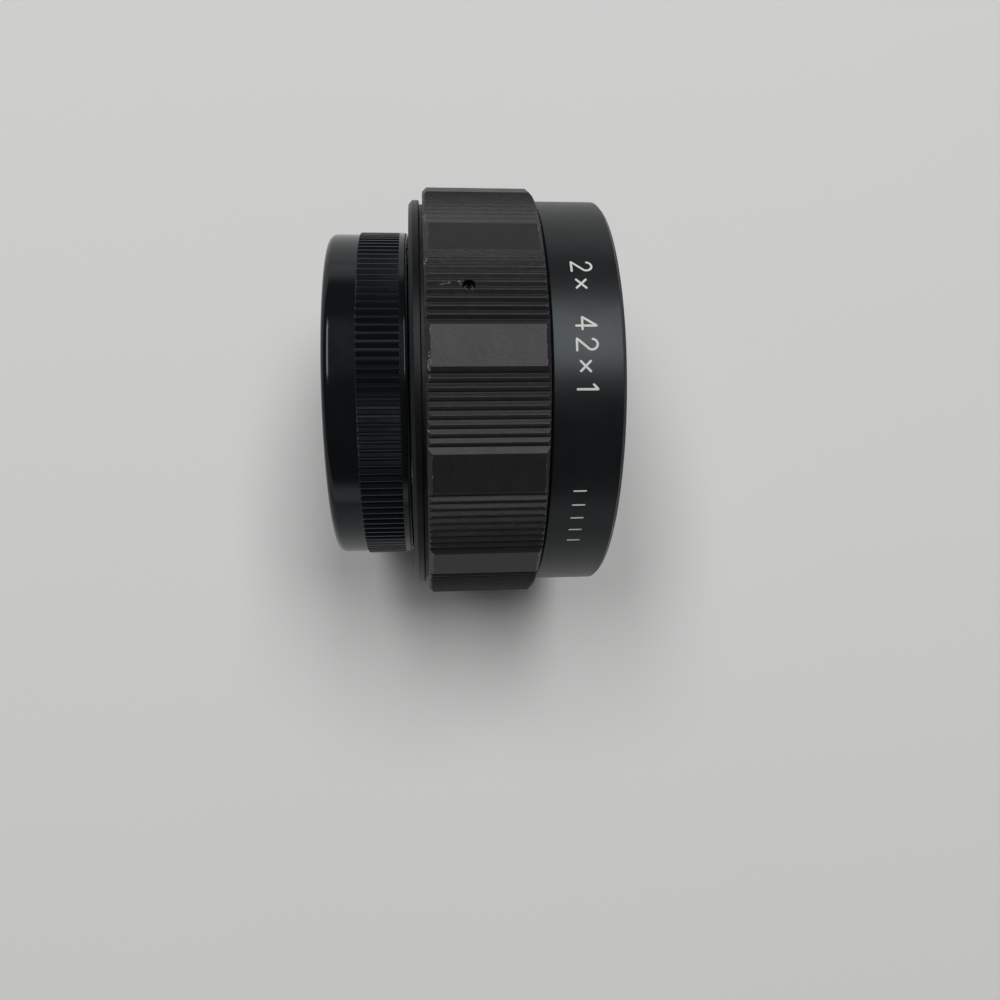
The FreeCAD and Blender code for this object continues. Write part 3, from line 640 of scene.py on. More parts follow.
class EffectGroup(Wiring):
    """An effect's node group: its inputs, the object's coordinates and the one value that it puts out."""

    def __init__(self, effect: Effect) -> None:
        """Makes the group's sockets and wires its effect.

        Args:
            effect: The effect.
        """
        recipes: dict[Effect, tuple[dict[str, object], str, Callable[[], Socket]]] = {
            Effect.GRAIN: ({"Scale": 4000.0, "Roughness": 0.6}, "Height", self._grain),
            Effect.TURNING: ({"Scale": 9000.0}, "Height", self._turning),
            Effect.EDGE_WEAR: ({"Scale": 900.0, "Amount": 0.4}, "Mask", self._edge_wear),
            Effect.DUST: ({"Scale": 900.0, "Share": 0.1, "Size": 0.09}, "Mask", self._dust),
            Effect.TONE: ({"Color": (0.5, 0.5, 0.5, 1.0), "Spread": 0.15, "Scale": 250.0}, "Color",
                          self._tone),
            Effect.HANDLING: ({"Middle": 0.4, "Spread": 0.08, "Scale": 120.0}, "Roughness",
                              self._handling),
        }
        inputs, output, wire = recipes[effect]
        super().__init__(bpy.data.node_groups.new(effect.value, "ShaderNodeTree"))
        for name, default in inputs.items():
            self._socket(name, "INPUT").default_value = default
        self._socket(output, "OUTPUT")
        self.place = self.node("TexCoord").outputs["Object"]
        self.given = self.node("NodeGroupInput").outputs
        self.node("NodeGroupOutput", {0: wire()})

    def _socket(self, name: str, way: str) -> bpy.types.NodeTreeInterfaceSocket:
        """Adds one socket, a colour or a number after its name."""
        kind = "NodeSocketColor" if name == "Color" else "NodeSocketFloat"
        return self.tree.interface.new_socket(name=name, in_out=way, socket_type=kind)

    def _centred(self, scale: object, detail: float) -> Socket:
        """Noise from -0.5 to 0.5."""
        return self.math("SUBTRACT", self.noise(self.place, scale, detail), 0.5)

    def _grain(self) -> Socket:
        """Blasted or moulded grain, as a height."""
        return self.node("TexNoise", {"Vector": self.place, "Scale": self.given["Scale"], "Detail": 3.0,
                                      "Roughness": self.given["Roughness"]}).outputs["Fac"]

    def _turning(self) -> Socket:
        """Fine lines that a lathe leaves round the optical axis, as a height.

        Returns:
            The height.
        """
        cone_share, drawn_out = 0.83, (0.02, 0.02, 0.02)
        parts = self.node("SeparateXYZ", {0: self.place}).outputs
        off = self.node("CombineXYZ", {"Y": parts["Y"], "Z": parts["Z"]}).outputs[0]
        along = self.math("ADD", parts["X"], self.math("MULTIPLY", self.vector("LENGTH", off), cone_share))
        spun = self.vector("MULTIPLY", off, drawn_out)
        line = self.node("CombineXYZ", {"X": along}).outputs[0]
        return self.noise(self.vector("ADD", line, spun), self.given["Scale"], 1.0)

    def _edge_wear(self) -> Socket:
        """Patches along the edges where the finish has rubbed off, as a mask.

        Returns:
            The mask.
        """
        broad_share, fine_scale, highest, reach, soft = 0.7, 5.0, 0.8, 0.6, 0.1
        edge = self.node("Attribute", attribute_name=WEAR).outputs["Fac"]
        broad = self.noise(self.place, self.given["Scale"])
        fine = self.noise(self.place, self.math("MULTIPLY", self.given["Scale"], fine_scale))
        patchy = self.math("ADD", self.math("MULTIPLY", broad, broad_share),
                           self.math("MULTIPLY", fine, 1.0 - broad_share))
        threshold = self.math("SUBTRACT", highest, self.math("MULTIPLY", self.given["Amount"], reach))
        return self.ramp(self.math("MULTIPLY", edge, patchy), threshold, self.math("ADD", threshold, soft))

    def _dust(self) -> Socket:
        """Scattered specks of dust, as a mask.

        Returns:
            The mask.
        """
        cells = self.node("TexVoronoi", {"Vector": self.place, "Scale": self.given["Scale"]}).outputs
        chance = self.node("SeparateColor", {0: cells["Color"]}).outputs[0]
        here = self.math("LESS_THAN", chance, self.given["Share"])
        size = self.given["Size"]
        near = self.ramp(cells["Distance"], size, self.math("MULTIPLY", size, 0.5))
        return self.math("MULTIPLY", here, near)

    def _tone(self) -> Socket:
        """A colour that drifts a little over the surface.

        Returns:
            The colour.
        """
        drift = self.math("MULTIPLY", self._centred(self.given["Scale"], 4.0), 3.0)
        gain = self.math("ADD", 1.0, self.math("MULTIPLY", drift, self.given["Spread"]))
        scaled = self.node("VectorMath", {0: self.given["Color"], "Scale": gain}, operation="SCALE")
        return scaled.outputs[0]

    def _handling(self) -> Socket:
        """Roughness that drifts with handling: low where it is rubbed, high where it is greasy or dusty.

        Returns:
            The roughness.
        """
        fine_scale, lowest = 9.0, 0.03
        broad = self._centred(self.given["Scale"], 3.0)
        fine = self._centred(self.math("MULTIPLY", self.given["Scale"], fine_scale), 3.0)
        drift = self.math("ADD", self.math("MULTIPLY", broad, 2.0), fine)
        value = self.math("ADD", self.given["Middle"], self.math("MULTIPLY", drift, self.given["Spread"]))
        return self.math("MAXIMUM", value, lowest)


class EffectShop:
    """Builds each effect's node group once, and places it in materials."""

    def __init__(self) -> None:
        """Starts with no groups."""
        self._made: dict[Effect, bpy.types.NodeTree] = {}

    def place(self, wiring: Wiring, effect: Effect, **inputs: object) -> Socket:
        """Places a group in a material.

        Args:
            wiring: The material's wiring.
            effect: Which effect.
            inputs: Its named inputs.

        Returns:
            The group's one output.
        """
        if effect not in self._made:
            self._made[effect] = EffectGroup(effect).tree
        return wiring.node("Group", inputs, node_tree=self._made[effect]).outputs[0]


def new_material(name: str) -> tuple[bpy.types.Material, Wiring, bpy.types.Node]:
    """A new material, its wiring and its shader.

    Args:
        name: Its name.

    Returns:
        The material, its wiring and its Principled BSDF.
    """
    made = bpy.data.materials.new(name)
    made.use_nodes = True
    return made, Wiring(made.node_tree), made.node_tree.nodes["Principled BSDF"]


@dataclass(frozen=True)
class Scuff:
    """A patch where the finish has been knocked off: its centre and half size, in millimetres."""

    centre: Triple
    half: Triple


@dataclass(frozen=True)
class Finish:
    """A surface: its colour, gloss, grain, turning lines, worn edges, scuffs and dust."""

    name: str
    base: Triple
    roughness: float
    metallic: float = 0.0
    specular: float = 0.5
    shine: Triple = (1.0, 1.0, 1.0)
    tone_spread: float = 0.15
    tone_scale: float = 300.0
    gloss_spread: float = 0.06
    gloss_scale: float = 150.0
    grain_scale: float = 5000.0
    grain_depth: float = 0.004
    turning_share: float = 0.0
    worn: Triple = (0.3, 0.3, 0.31)
    worn_metal: float = 0.8
    wear_amount: float = 0.0
    wear_scale: float = 900.0
    dust_share: float = 0.0
    dust_scale: float = 700.0
    dust_size: float = 0.08
    dust: Triple = (0.22, 0.21, 0.2)
    dust_dulling: float = 0.4
    scuffs: tuple[Scuff, ...] = ()

    def material(self, shop: EffectShop) -> bpy.types.Material:
        """Builds the node material.

        Args:
            shop: Where the shared effects come from.

        Returns:
            The material.
        """
        made, w, shader = new_material(self.name)
        colour = shop.place(w, Effect.TONE, Color=(*self.base, 1.0), Spread=self.tone_spread,
                            Scale=self.tone_scale)
        gloss = shop.place(w, Effect.HANDLING, Middle=self.roughness, Spread=self.gloss_spread,
                           Scale=self.gloss_scale)
        height = shop.place(w, Effect.GRAIN, Scale=self.grain_scale)
        metal: object = self.metallic
        if self.turning_share:
            lines = shop.place(w, Effect.TURNING)
            height = w.math("ADD", w.math("MULTIPLY", height, 1.0 - self.turning_share),
                            w.math("MULTIPLY", lines, self.turning_share))
        if self.wear_amount:
            mask = shop.place(w, Effect.EDGE_WEAR, Scale=self.wear_scale, Amount=self.wear_amount)
            if self.scuffs:
                mask = self._scuffed(w, mask)
            colour = w.mix(mask, colour, self.worn)
            metal = w.math("ADD", self.metallic, w.math("MULTIPLY", mask, self.worn_metal - self.metallic))
        if self.dust_share:
            specks = shop.place(w, Effect.DUST, Scale=self.dust_scale, Share=self.dust_share,
                                Size=self.dust_size)
            colour = w.mix(specks, colour, self.dust)
            gloss = w.math("ADD", gloss, w.math("MULTIPLY", specks, self.dust_dulling))
        bump = w.node("Bump", {"Strength": 1.0, "Distance": self.grain_depth * MM, "Height": height})
        w.feed(shader, {"Base Color": colour, "Metallic": metal, "Roughness": gloss,
                        "Normal": bump.outputs["Normal"], "Specular IOR Level": self.specular,
                        "Specular Tint": (*self.shine, 1.0)})
        return made

    def _scuffed(self, w: Wiring, mask: Socket) -> Socket:
        """Adds the scuffs to a mask.

        Args:
            w: The material's wiring.
            mask: The mask of the worn edges.

        Returns:
            The mask of both.
        """
        stretch, speckle_scale, bare_share = (0.4, 1.0, 1.0), 4200.0, 0.7
        fading, patchy = (1.1, 0.3), (0.46, 0.6)
        place = w.node("TexCoord").outputs["Object"]
        speckle = w.noise(w.vector("MULTIPLY", place, stretch), speckle_scale, 3.0)
        for scuff in self.scuffs:
            off = w.vector("SUBTRACT", place, tuple(c * MM for c in scuff.centre))
            far = w.vector("LENGTH", w.vector("MULTIPLY", off, tuple(1.0 / (h * MM) for h in scuff.half)))
            level = w.math("MULTIPLY", w.ramp(far, *fading), speckle)
            mask = w.math("MAXIMUM", mask, w.math("MULTIPLY", w.ramp(level, *patchy), bare_share))
        return mask


@dataclass(frozen=True)
class GlassFinish:
    """Coated optical glass."""

    name: str
    ior: float
    film_nm: float
    film_ior: float = 1.38
    dust: Triple = (0.7, 0.7, 0.7)

    def material(self, shop: EffectShop) -> bpy.types.Material:
        """Builds the node material.

        Args:
            shop: Where the shared effects come from.

        Returns:
            The material.
        """
        made, w, shader = new_material(self.name)
        specks = shop.place(w, Effect.DUST, Scale=420.0, Share=0.05, Size=0.05)
        gloss = shop.place(w, Effect.HANDLING, Middle=0.03, Spread=0.012, Scale=90.0)
        w.feed(shader, {"Base Color": w.mix(specks, (1.0, 1.0, 1.0), self.dust), "Roughness": gloss,
                        "Metallic": 0.0, "Transmission Weight": 1.0, "IOR": self.ior,
                        "Thin Film Thickness": self.film_nm, "Thin Film IOR": self.film_ior})
        return made


BARREL_BLACK = Finish("barrel_black", (0.0075, 0.0078, 0.0085), 0.36, specular=0.29, shine=(0.86, 0.96, 1.0),
                      tone_spread=0.25, gloss_spread=0.05, grain_scale=6500.0, grain_depth=0.0035,
                      turning_share=0.35, worn=(0.16, 0.16, 0.17), wear_amount=0.34, dust_share=0.012,
                      dust_scale=500.0, dust_size=0.07)
GRIP_BLACK = Finish("grip_black", (0.0105, 0.0102, 0.0108), 0.45, specular=0.36, tone_spread=0.35,
                    tone_scale=900.0, shine=(0.96, 0.96, 1.0), gloss_spread=0.07, grain_scale=3300.0,
                    grain_depth=0.045, worn=(0.3, 0.3, 0.31), wear_amount=0.46, wear_scale=700.0,
                    dust_share=0.02, dust_scale=600.0, dust_size=0.07,
                    scuffs=(Scuff((4.6, 8.4, 30.1), (1.8, 0.45, 0.6)),
                            Scuff((6.5, 8.3, 30.1), (0.6, 0.7, 0.7)),
                            Scuff((13.6, 8.1, 30.2), (0.9, 0.5, 0.6)),
                            Scuff((2.4, -2.6, 31.2), (0.4, 4.2, 1.2))))
# Painted shade: the grip's recessed rims take a darker colour and weaker reflections than the grip, standing
# in for the shade in the recess.
GRIP_RIM_PAINTED_SHADE = replace(GRIP_BLACK, name="grip_rim_painted_shade", base=(0.006, 0.006, 0.0064), specular=0.1, scuffs=())
FLANGE_BLACK = Finish("flange_black", (0.0065, 0.0066, 0.007), 0.36, specular=0.15, shine=(0.9, 0.97, 1.0),
                      grain_scale=7000.0, grain_depth=0.003, turning_share=0.5, worn=(0.16, 0.16, 0.17),
                      wear_amount=0.3, dust_share=0.01)
CAP_PLASTIC = Finish("cap_plastic", (0.0052, 0.0062, 0.0076), 0.14, specular=0.28, shine=(0.85, 0.95, 1.0),
                     tone_spread=0.2, gloss_spread=0.04, gloss_scale=260.0, grain_scale=2500.0,
                     grain_depth=0.0015, worn=(0.06, 0.06, 0.065), worn_metal=0.0, wear_amount=0.4,
                     dust_share=0.015, dust_scale=600.0, dust_size=0.06)
CAP_LIP = replace(CAP_PLASTIC, name="cap_lip", roughness=0.16, specular=0.5)
CAP_FACE = replace(CAP_PLASTIC, name="cap_face", roughness=0.4, specular=0.5)
CHROME = Finish("satin_chrome", (0.62, 0.62, 0.63), 0.2, metallic=1.0, tone_spread=0.05, gloss_spread=0.06,
                grain_scale=9000.0, grain_depth=0.0012, turning_share=0.8, worn=(0.55, 0.47, 0.3),
                worn_metal=1.0, wear_amount=0.28, dust_share=0.01)
SCREW_STEEL = Finish("screw_steel", (0.42, 0.42, 0.43), 0.3, metallic=1.0, grain_depth=0.002,
                     tone_spread=0.15, worn=(0.6, 0.6, 0.6), worn_metal=1.0, wear_amount=0.5)
GRUB_STEEL = Finish("grub_steel", (0.05, 0.05, 0.052), 0.4, metallic=1.0, grain_depth=0.003)
BLOCK_BLACK = Finish("block_black", (0.006, 0.006, 0.0062), 0.5, grain_scale=6000.0, grain_depth=0.004,
                     turning_share=0.4, worn=(0.16, 0.16, 0.16), wear_amount=0.25, dust_share=0.01)
MATT_BLACK = Finish("matt_black", (0.012, 0.012, 0.0125), 0.75, grain_scale=5000.0, grain_depth=0.01,
                    specular=0.3, dust_share=0.012)
BRASS = Finish("turned_brass", (0.6, 0.42, 0.18), 0.28, metallic=1.0, grain_depth=0.002, tone_spread=0.12)
ROD_STEEL = Finish("ground_steel", (0.56, 0.56, 0.57), 0.2, metallic=1.0, grain_depth=0.001,
                   tone_spread=0.06)
PLATE_STEEL = Finish("stamped_steel", (0.46, 0.46, 0.47), 0.33, metallic=1.0, grain_depth=0.004,
                     tone_spread=0.12, worn=(0.6, 0.6, 0.6), worn_metal=1.0, wear_amount=0.35)
SPRING_STEEL = Finish("spring_steel", (0.36, 0.35, 0.33), 0.3, metallic=1.0, grain_depth=0.001)
PAINT = Finish("engraving_paint", (0.62, 0.63, 0.6), 0.55, tone_spread=0.1, tone_scale=1500.0,
               grain_depth=0.004, gloss_spread=0.03)
FRONT_GLASS = GlassFinish("front_glass", 1.62, 430.0)
REAR_GLASS = GlassFinish("rear_glass", 1.67, 480.0)


@dataclass
class Wardrobe:
    """Makes each finish's material once."""

    shop: EffectShop = field(default_factory=EffectShop)
    _made: dict[str, bpy.types.Material] = field(default_factory=dict)

    def hang(self, piece: Piece, *finishes: Finish | GlassFinish) -> None:
        """Puts one or more finishes in a piece's material slots, in place of what it had.

        Args:
            piece: The piece.
            finishes: The finishes, in the order of its slots.
        """
        piece.data.materials.clear()
        for finish in finishes:
            if finish.name not in self._made:
                self._made[finish.name] = finish.material(self.shop)
            piece.data.materials.append(self._made[finish.name])


@dataclass
class Assembly:
    """What every sub-assembly shares: the wardrobe, the sizes where pieces meet, and how one is seated."""

    wardrobe: Wardrobe
    skirt_r: float = 29.7
    front_face_x: float = 28.1
    thread_r: float = 21.0
    partition_x: float = 10.6
    partition_t: float = 2.4
    block_r: float = 14.5
    pin_ring_r: float = 17.9
    pin_hole_r: float = 1.15
    grub_x: float = 7.7
    grub_first_deg: float = -15.0
    grubs: int = 3
    slip: float = 0.03

    def pin_hole(self, start: float, stop: float) -> Piece:
        """Cutter of the hole for the diaphragm pin, from one place along the axis to another."""
        return bar(self.pin_hole_r, *(polar(x, self.pin_ring_r, math.pi) for x in (start, stop)))

    def grub_angles(self) -> list[float]:
        """Angles of the grip's grub screws, in radians."""
        return spread(self.grubs, math.radians(self.grub_first_deg))

    def seat(self, piece: Piece, slot: Slot, finishes: Sequence[Finish | GlassFinish], *nodes: str,
             body: Body = Body.BARREL) -> None:
        """Dresses a piece and puts it on its body.

        Args:
            piece: The piece.
            slot: Its material slot. Not used.
            finishes: What its material slots hold.
            nodes: The CAD nodes that it stands for.
            body: The CAD body that it rides on.
        """
        self.wardrobe.hang(piece, *finishes)
        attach(piece, body.value)
        if nodes:
            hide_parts(*nodes)
        LOG.info("%s: %d faces", piece.name, len(piece.data.polygons))

    def keep(self, frame: dict, node: str, finish: Finish) -> None:
        """Gives a CAD node that stays in view a better material."""
        self.wardrobe.hang(frame["nodes"][node], finish)
        LOG.info("%s: kept", node)


@dataclass
class Barrel(Assembly):
    """The skirt, sleeve and partition in one turned piece, in millimetres."""

    skirt_x: float = 18.2
    front_x: float = 27.95
    rear_chamfer: float = 0.2
    front_chamfer: float = 0.5
    soft: float = 0.07
    counterbore_r: float = 27.18
    neck_x: float = 25.4
    neck_l: float = 2.8
    neck_r: float = 23.199
    chamber_r: float = 26.2
    sleeve_r: float = 28.4
    rear_x: float = 1.5
    rear_seat_r: float = 21.6
    rear_seat_t: float = 2.3

    def rows(self) -> list[Row]:
        """The turned outline.

        Returns:
            Its knees, from the rear seat over the skirt and back along the inside.
        """
        partition_front, hole_r = self.partition_x + self.partition_t, self.block_r + self.slip
        seat_x, neck_rear = self.rear_x + self.rear_seat_t, self.neck_x - self.neck_l
        return [
            (self.rear_x, self.rear_seat_r), (self.rear_x, self.sleeve_r), (self.skirt_x, self.sleeve_r),
            (self.skirt_x, self.skirt_r - self.rear_chamfer, self.soft, 0.7),
            (self.skirt_x + self.rear_chamfer, self.skirt_r, self.soft, 0.7),
            (self.front_x - self.front_chamfer, self.skirt_r, self.soft),
            (self.front_x, self.skirt_r - self.front_chamfer, self.soft),
            (self.front_x, self.counterbore_r, 0.05), (self.neck_x, self.counterbore_r),
            (self.neck_x, self.neck_r, 0.05), (neck_rear, self.neck_r, 0.05), (neck_rear, self.chamber_r),
            (partition_front, self.chamber_r), (partition_front, hole_r), (self.partition_x, hole_r),
            (self.partition_x, self.chamber_r), (seat_x, self.chamber_r), (seat_x, self.rear_seat_r)]

    def build(self) -> None:
        """Builds and seats the barrel."""
        piece = lathe("barrel_skirt", self.rows(), FINE)
        drill(piece, [self.pin_hole(self.partition_x - 1, self.partition_x + self.partition_t + 1)])
        self.seat(piece, Slot.BARREL, [BARREL_BLACK], "main_barrel")


@dataclass
class Marks(Assembly):
    """Engraved, paint-filled marks on the skirt: plain numerals and a row of ticks."""

    text: str = "2x 42x1"
    foot_x: float = 21.4
    height: float = 2.7
    stroke: float = 0.3
    last_deg: float = 10.0
    step_deg: float = 5.5
    middle: float = 0.31
    ticks: int = 5
    tick_x: float = 21.5
    tick_height: float = 1.6
    tick_stroke: float = 0.24
    tick_first_deg: float = 37.0
    tick_step_deg: float = 4.4
    proud: float = 0.012
    sunk: float = 0.06
    spacing: float = 0.12

    @staticmethod
    def _arc(cx: float, cy: float, rx: float, ry: float, start: float, stop: float, count: int = 12
             ) -> list[tuple[float, float]]:
        """Points on an arc of an ellipse, angles in degrees."""
        turns = [math.radians(start + (stop - start) * k / count) for k in range(count + 1)]
        return [(cx + rx * math.cos(t), cy + ry * math.sin(t)) for t in turns]

    def glyphs(self) -> dict[str, list[list[tuple[float, float]]]]:
        """Strokes of each sign, in a cell 0.62 wide and 1 high.

        Returns:
            The paths of each sign's strokes: across it, and up from its foot.
        """
        return {
            " ": [],
            "1": [[(0.12, 0.78), (0.34, 1.0), (0.34, 0.0)]],
            "2": [self._arc(0.3, 0.72, 0.26, 0.28, 170, -25) + [(0.02, 0.0), (0.6, 0.0)]],
            "4": [[(0.62, 0.3), (0.0, 0.3), (0.44, 1.0), (0.44, 0.0)]],
            "x": [[(0.06, 0.16), (0.54, 0.64)], [(0.06, 0.64), (0.54, 0.16)]],
        }

    def _stroke(self, skin: Skin, path: Sequence[tuple[float, float]], width: float) -> None:
        """Adds one round-ended stroke, laid on the skirt.

        Args:
            skin: The skin to add to.
            path: Points along it: x along the axis, and millimetres round the skirt.
            width: The stroke's width.
        """
        dense: list[Vector] = []
        for a, b in zip(map(Vector, path), map(Vector, path[1:])):
            count = max(1, math.ceil((b - a).length / self.spacing))
            dense += [a.lerp(b, k / count) for k in range(count)]
        dense.append(Vector(path[-1]))
        half, last, bends = width / 2, len(dense) - 1, (0.4, 0.8, 1.2, 1.5)
        ways = [(dense[min(i + 1, last)] - dense[max(i - 1, 0)]).normalized() for i in range(last + 1)]
        spine = [(dense[0] - ways[0] * half * math.sin(t), ways[0], half * math.cos(t)) for t in bends[::-1]]
        spine += [(p, way, half) for p, way in zip(dense, ways)]
        spine += [(dense[-1] + ways[-1] * half * math.sin(t), ways[-1], half * math.cos(t)) for t in bends]
        across = ((-1.0, -self.sunk), (-1.0, 0.0), (-0.7, self.proud), (0.7, self.proud), (1.0, 0.0),
                  (1.0, -self.sunk))
        rows = []
        for p, way, reach in spine:
            side = Vector((-way.y, way.x)) * reach
            points = [(p + side * share, lift) for share, lift in across]
            rows.append([polar(q.x, self.skirt_r + lift, q.y / self.skirt_r) for q, lift in points])
        skin.closed_bar(rows)

    def build(self) -> None:
        """Builds and seats the marks."""
        skin, signs, last = Skin(), self.glyphs(), len(self.text) - 1
        for i, sign in enumerate(self.text):
            centre = math.radians(self.last_deg - (last - i) * self.step_deg) * self.skirt_r
            for path in signs[sign]:
                self._stroke(skin, [(self.foot_x + v * self.height, centre + (u - self.middle) * self.height)
                                    for u, v in path], self.stroke)
        for i in range(self.ticks):
            y = math.radians(self.tick_first_deg + i * self.tick_step_deg) * self.skirt_r
            self._stroke(skin, [(self.tick_x, y), (self.tick_x + self.tick_height, y)], self.tick_stroke)
        self.seat(skin.piece("skirt_marks", 50.0), Slot.BARREL, [PAINT])


@dataclass
class Grip(Assembly):
    """The fluted grip ring: twelve flats, and twelve pads of nine V grooves."""

    flats: int = 12
    bore_r: float = 28.43
    flat_h: float = 31.378
    flat_half_deg: float = 4.93
    start_x: float = 2.0
    end_x: float = 17.8
    rim_r: float = 29.1
    rim_start_x: float = 1.52
    rim_end_x: float = 18.18
    rear_chamfer: float = 0.63
    front_chamfer: float = 0.5
    grooves: int = 9
    groove_pitch_deg: float = 2.143
    floor_r: float = 30.919
    rib_r: float = 31.345
    flat_edge: float = 0.07
    rib_edge: float = 0.12
    floor_edge: float = 0.05
    flat_wear: float = 0.3
    screw_hole_r: float = 0.83

    @property
    def edge_r(self) -> float:
        """Radius of a flat's two edges, which stand out the most."""
        return self.flat_h / math.cos(math.radians(self.flat_half_deg))

    def cross_section(self) -> list[Sample]:
        """The ring's outline across the axis, softened, as y and z in millimetres.

        Returns:
            The samples, with the flats' edges worn.
        """
        step, pitch = 360.0 / self.flats, self.groove_pitch_deg
        marks: list[tuple[float, float, float, float]] = []
        for k in range(self.flats):
            middle = k * step
            marks += [(self.edge_r, middle + way * self.flat_half_deg, self.flat_edge, self.flat_wear)
                      for way in (-1, 1)]
            first = middle + (step - pitch * (self.grooves - 1)) / 2
            marks.append((self.floor_r, first, self.floor_edge, 0.0))
            for i in range(1, self.grooves):
                marks += [(self.rib_r, first + (i - 0.5) * pitch, self.rib_edge, 0.0),
                          (self.floor_r, first + i * pitch, self.floor_edge, 0.0)]
        turned = [(r, math.radians(angle), soft, wear) for r, angle, soft, wear in marks]
        return softened([(-r * math.sin(a), r * math.cos(a), soft, wear) for r, a, soft, wear in turned],
                        steps=2, guard=0.05)

    def lengthwise(self, r: float) -> list[Sample]:
        """The ring's outline along the axis where its surface is at radius r.

        Args:
            r: The radius.

        Returns:
            The samples, as many at any radius.
        """
        rear_foot, front_foot = self.edge_r - self.rear_chamfer, self.edge_r - self.front_chamfer
        rear_in, front_in = max(0.0, r - rear_foot), max(0.0, r - front_foot)
        return softened((
            (self.rim_start_x, self.bore_r), (self.rim_start_x, self.rim_r), (self.start_x, self.rim_r),
            (self.start_x, min(r, rear_foot), 0.05), (self.start_x + rear_in, r, 0.07),
            (self.end_x - front_in, r, 0.07), (self.end_x, min(r, front_foot), 0.05),
            (self.end_x, self.rim_r), (self.rim_end_x, self.rim_r), (self.rim_end_x, self.bore_r),
        ), steps=2, guard=0.1)

    def build(self) -> None:
        """Builds and seats the grip ring."""
        rows, wear = [], []
        for around in self.cross_section():
            r, angle = math.hypot(around.u, around.v), math.atan2(-around.u, around.v)
            along = self.lengthwise(r)
            rows.append([polar(s.u, s.v, angle) for s in along])
            wear.append([max(s.wear, around.wear if s.v > self.rim_r + 0.05 else 0.0) for s in along])
        skin = Skin()
        skin.grid(rows, wear, close_rows=True)
        piece = skin.piece("fluted_grip", 40.0)
        drill(piece, [bar(self.screw_hole_r, polar(self.grub_x, self.bore_r - 1, angle),
                          polar(self.grub_x, self.edge_r + 1, angle)) for angle in self.grub_angles()])
        # The rim faces past the fluted band take the painted-shade finish, darker than the grip.
        for face in piece.data.polygons:
            x = face.center.x / MM
            face.material_index = int(x < self.start_x - self.slip or x > self.end_x + self.slip)
        self.seat(piece, Slot.GRIP, [GRIP_BLACK, GRIP_RIM_PAINTED_SHADE], "grip_ring")


@dataclass
class RearEnd(Assembly):
    """The black flange band, the chromed rear mount ring with its thread, and the baffle."""

    flange_t: float = 1.5
    flange_chamfer: float = 0.55
    flange_edge: float = 0.15
    plate_r: float = 25.6
    step_r: float = 24.4
    step_t: float = 0.9
    thread_root_r: float = 20.46
    thread_l: float = 4.2
    throat_r: float = 19.6
    baffle_r: float = 22.4
    baffle_t: float = 0.6
    baffle_bore_r: float = 14.8

    def _flange(self) -> None:
        """The black band behind the grip."""
        plate, step, back = self.plate_r + self.slip, self.step_r + self.slip, self.flange_t
        piece = lathe("rear_flange_band", [
            (0, plate, 0.04), (0, self.skirt_r - self.flange_chamfer, 0.08),
            (self.flange_chamfer, self.skirt_r, 0.08), (back - self.flange_edge, self.skirt_r, 0.04),
            (back, self.skirt_r - self.flange_edge, 0.04), (back, step), (self.step_t, step),
            (self.step_t, plate)], FINE)
        self.seat(piece, Slot.BARREL, [FLANGE_BLACK], "rear_flange")

    def _mount(self, screws: Screws) -> None:
        """The chromed ring.

        Args:
            screws: The screws that it is drilled for.
        """
        thread = Thread(-self.thread_l, 0.0, self.thread_r, self.thread_root_r, mouth=-self.thread_l)
        baffle_x, baffle = self.flange_t - self.baffle_t, self.baffle_r + self.slip
        piece = threaded_ring("rear_mount", [
            (-self.thread_l, thread.mouth_r), (-self.thread_l, self.throat_r, 0.1), (baffle_x, self.throat_r),
            (baffle_x, baffle), (self.flange_t, baffle), (self.flange_t, self.step_r),
            (self.step_t, self.step_r), (self.step_t, self.plate_r), (0, self.plate_r, 0.12),
            (0, thread.end_r)], thread)
        drill(piece, screws.holes(0.0, 1.0, screws.rear_ring_r))
        self.seat(piece, Slot.CHROME, [CHROME], "rear_mount_ring")

    def _baffle(self) -> None:
        """The blackened plate round the rear glass."""
        front, rear, bore = self.flange_t, self.flange_t - self.baffle_t, self.baffle_bore_r
        piece = lathe("baffle_plate", [(front, self.baffle_r), (front, bore, 0.05), (rear, bore, 0.05),
                                       (rear, self.baffle_r, 0.03)])
        drill(piece, [self.pin_hole(-1, 3)])
        self.seat(piece, Slot.BAFFLE, [MATT_BLACK], "rear_baffle")

    def build(self, screws: Screws) -> None:
        """Builds and seats the rear end.

        Args:
            screws: The screws that its mount ring is drilled for.
        """
        self._flange()
        self._mount(screws)
        self._baffle()


@dataclass
class FrontEnd(Assembly):
    """The chromed front mount ring with its female thread."""

    thread_l: float = 4.9
    crest_r: float = 20.459
    tube_r: float = 23.149
    plate_r: float = 27.149
    plate_x: float = 25.6

    def build(self, screws: Screws) -> None:
        """Builds and seats the ring.

        Args:
            screws: The screws that it is drilled for.
        """
        face_x = self.front_face_x
        inner_x = face_x - self.thread_l
        thread = Thread(inner_x, face_x, self.crest_r, self.thread_r, mouth=face_x)
        piece = threaded_ring("front_mount", [
            (face_x, thread.mouth_r), (face_x, self.plate_r, 0.1), (self.plate_x, self.plate_r),
            (self.plate_x, self.tube_r), (inner_x, self.tube_r), (inner_x, thread.end_r)], thread)
        drill(piece, screws.holes(face_x, -1.0, screws.front_ring_r))
        self.seat(piece, Slot.CHROME, [CHROME], "front_mount_ring")


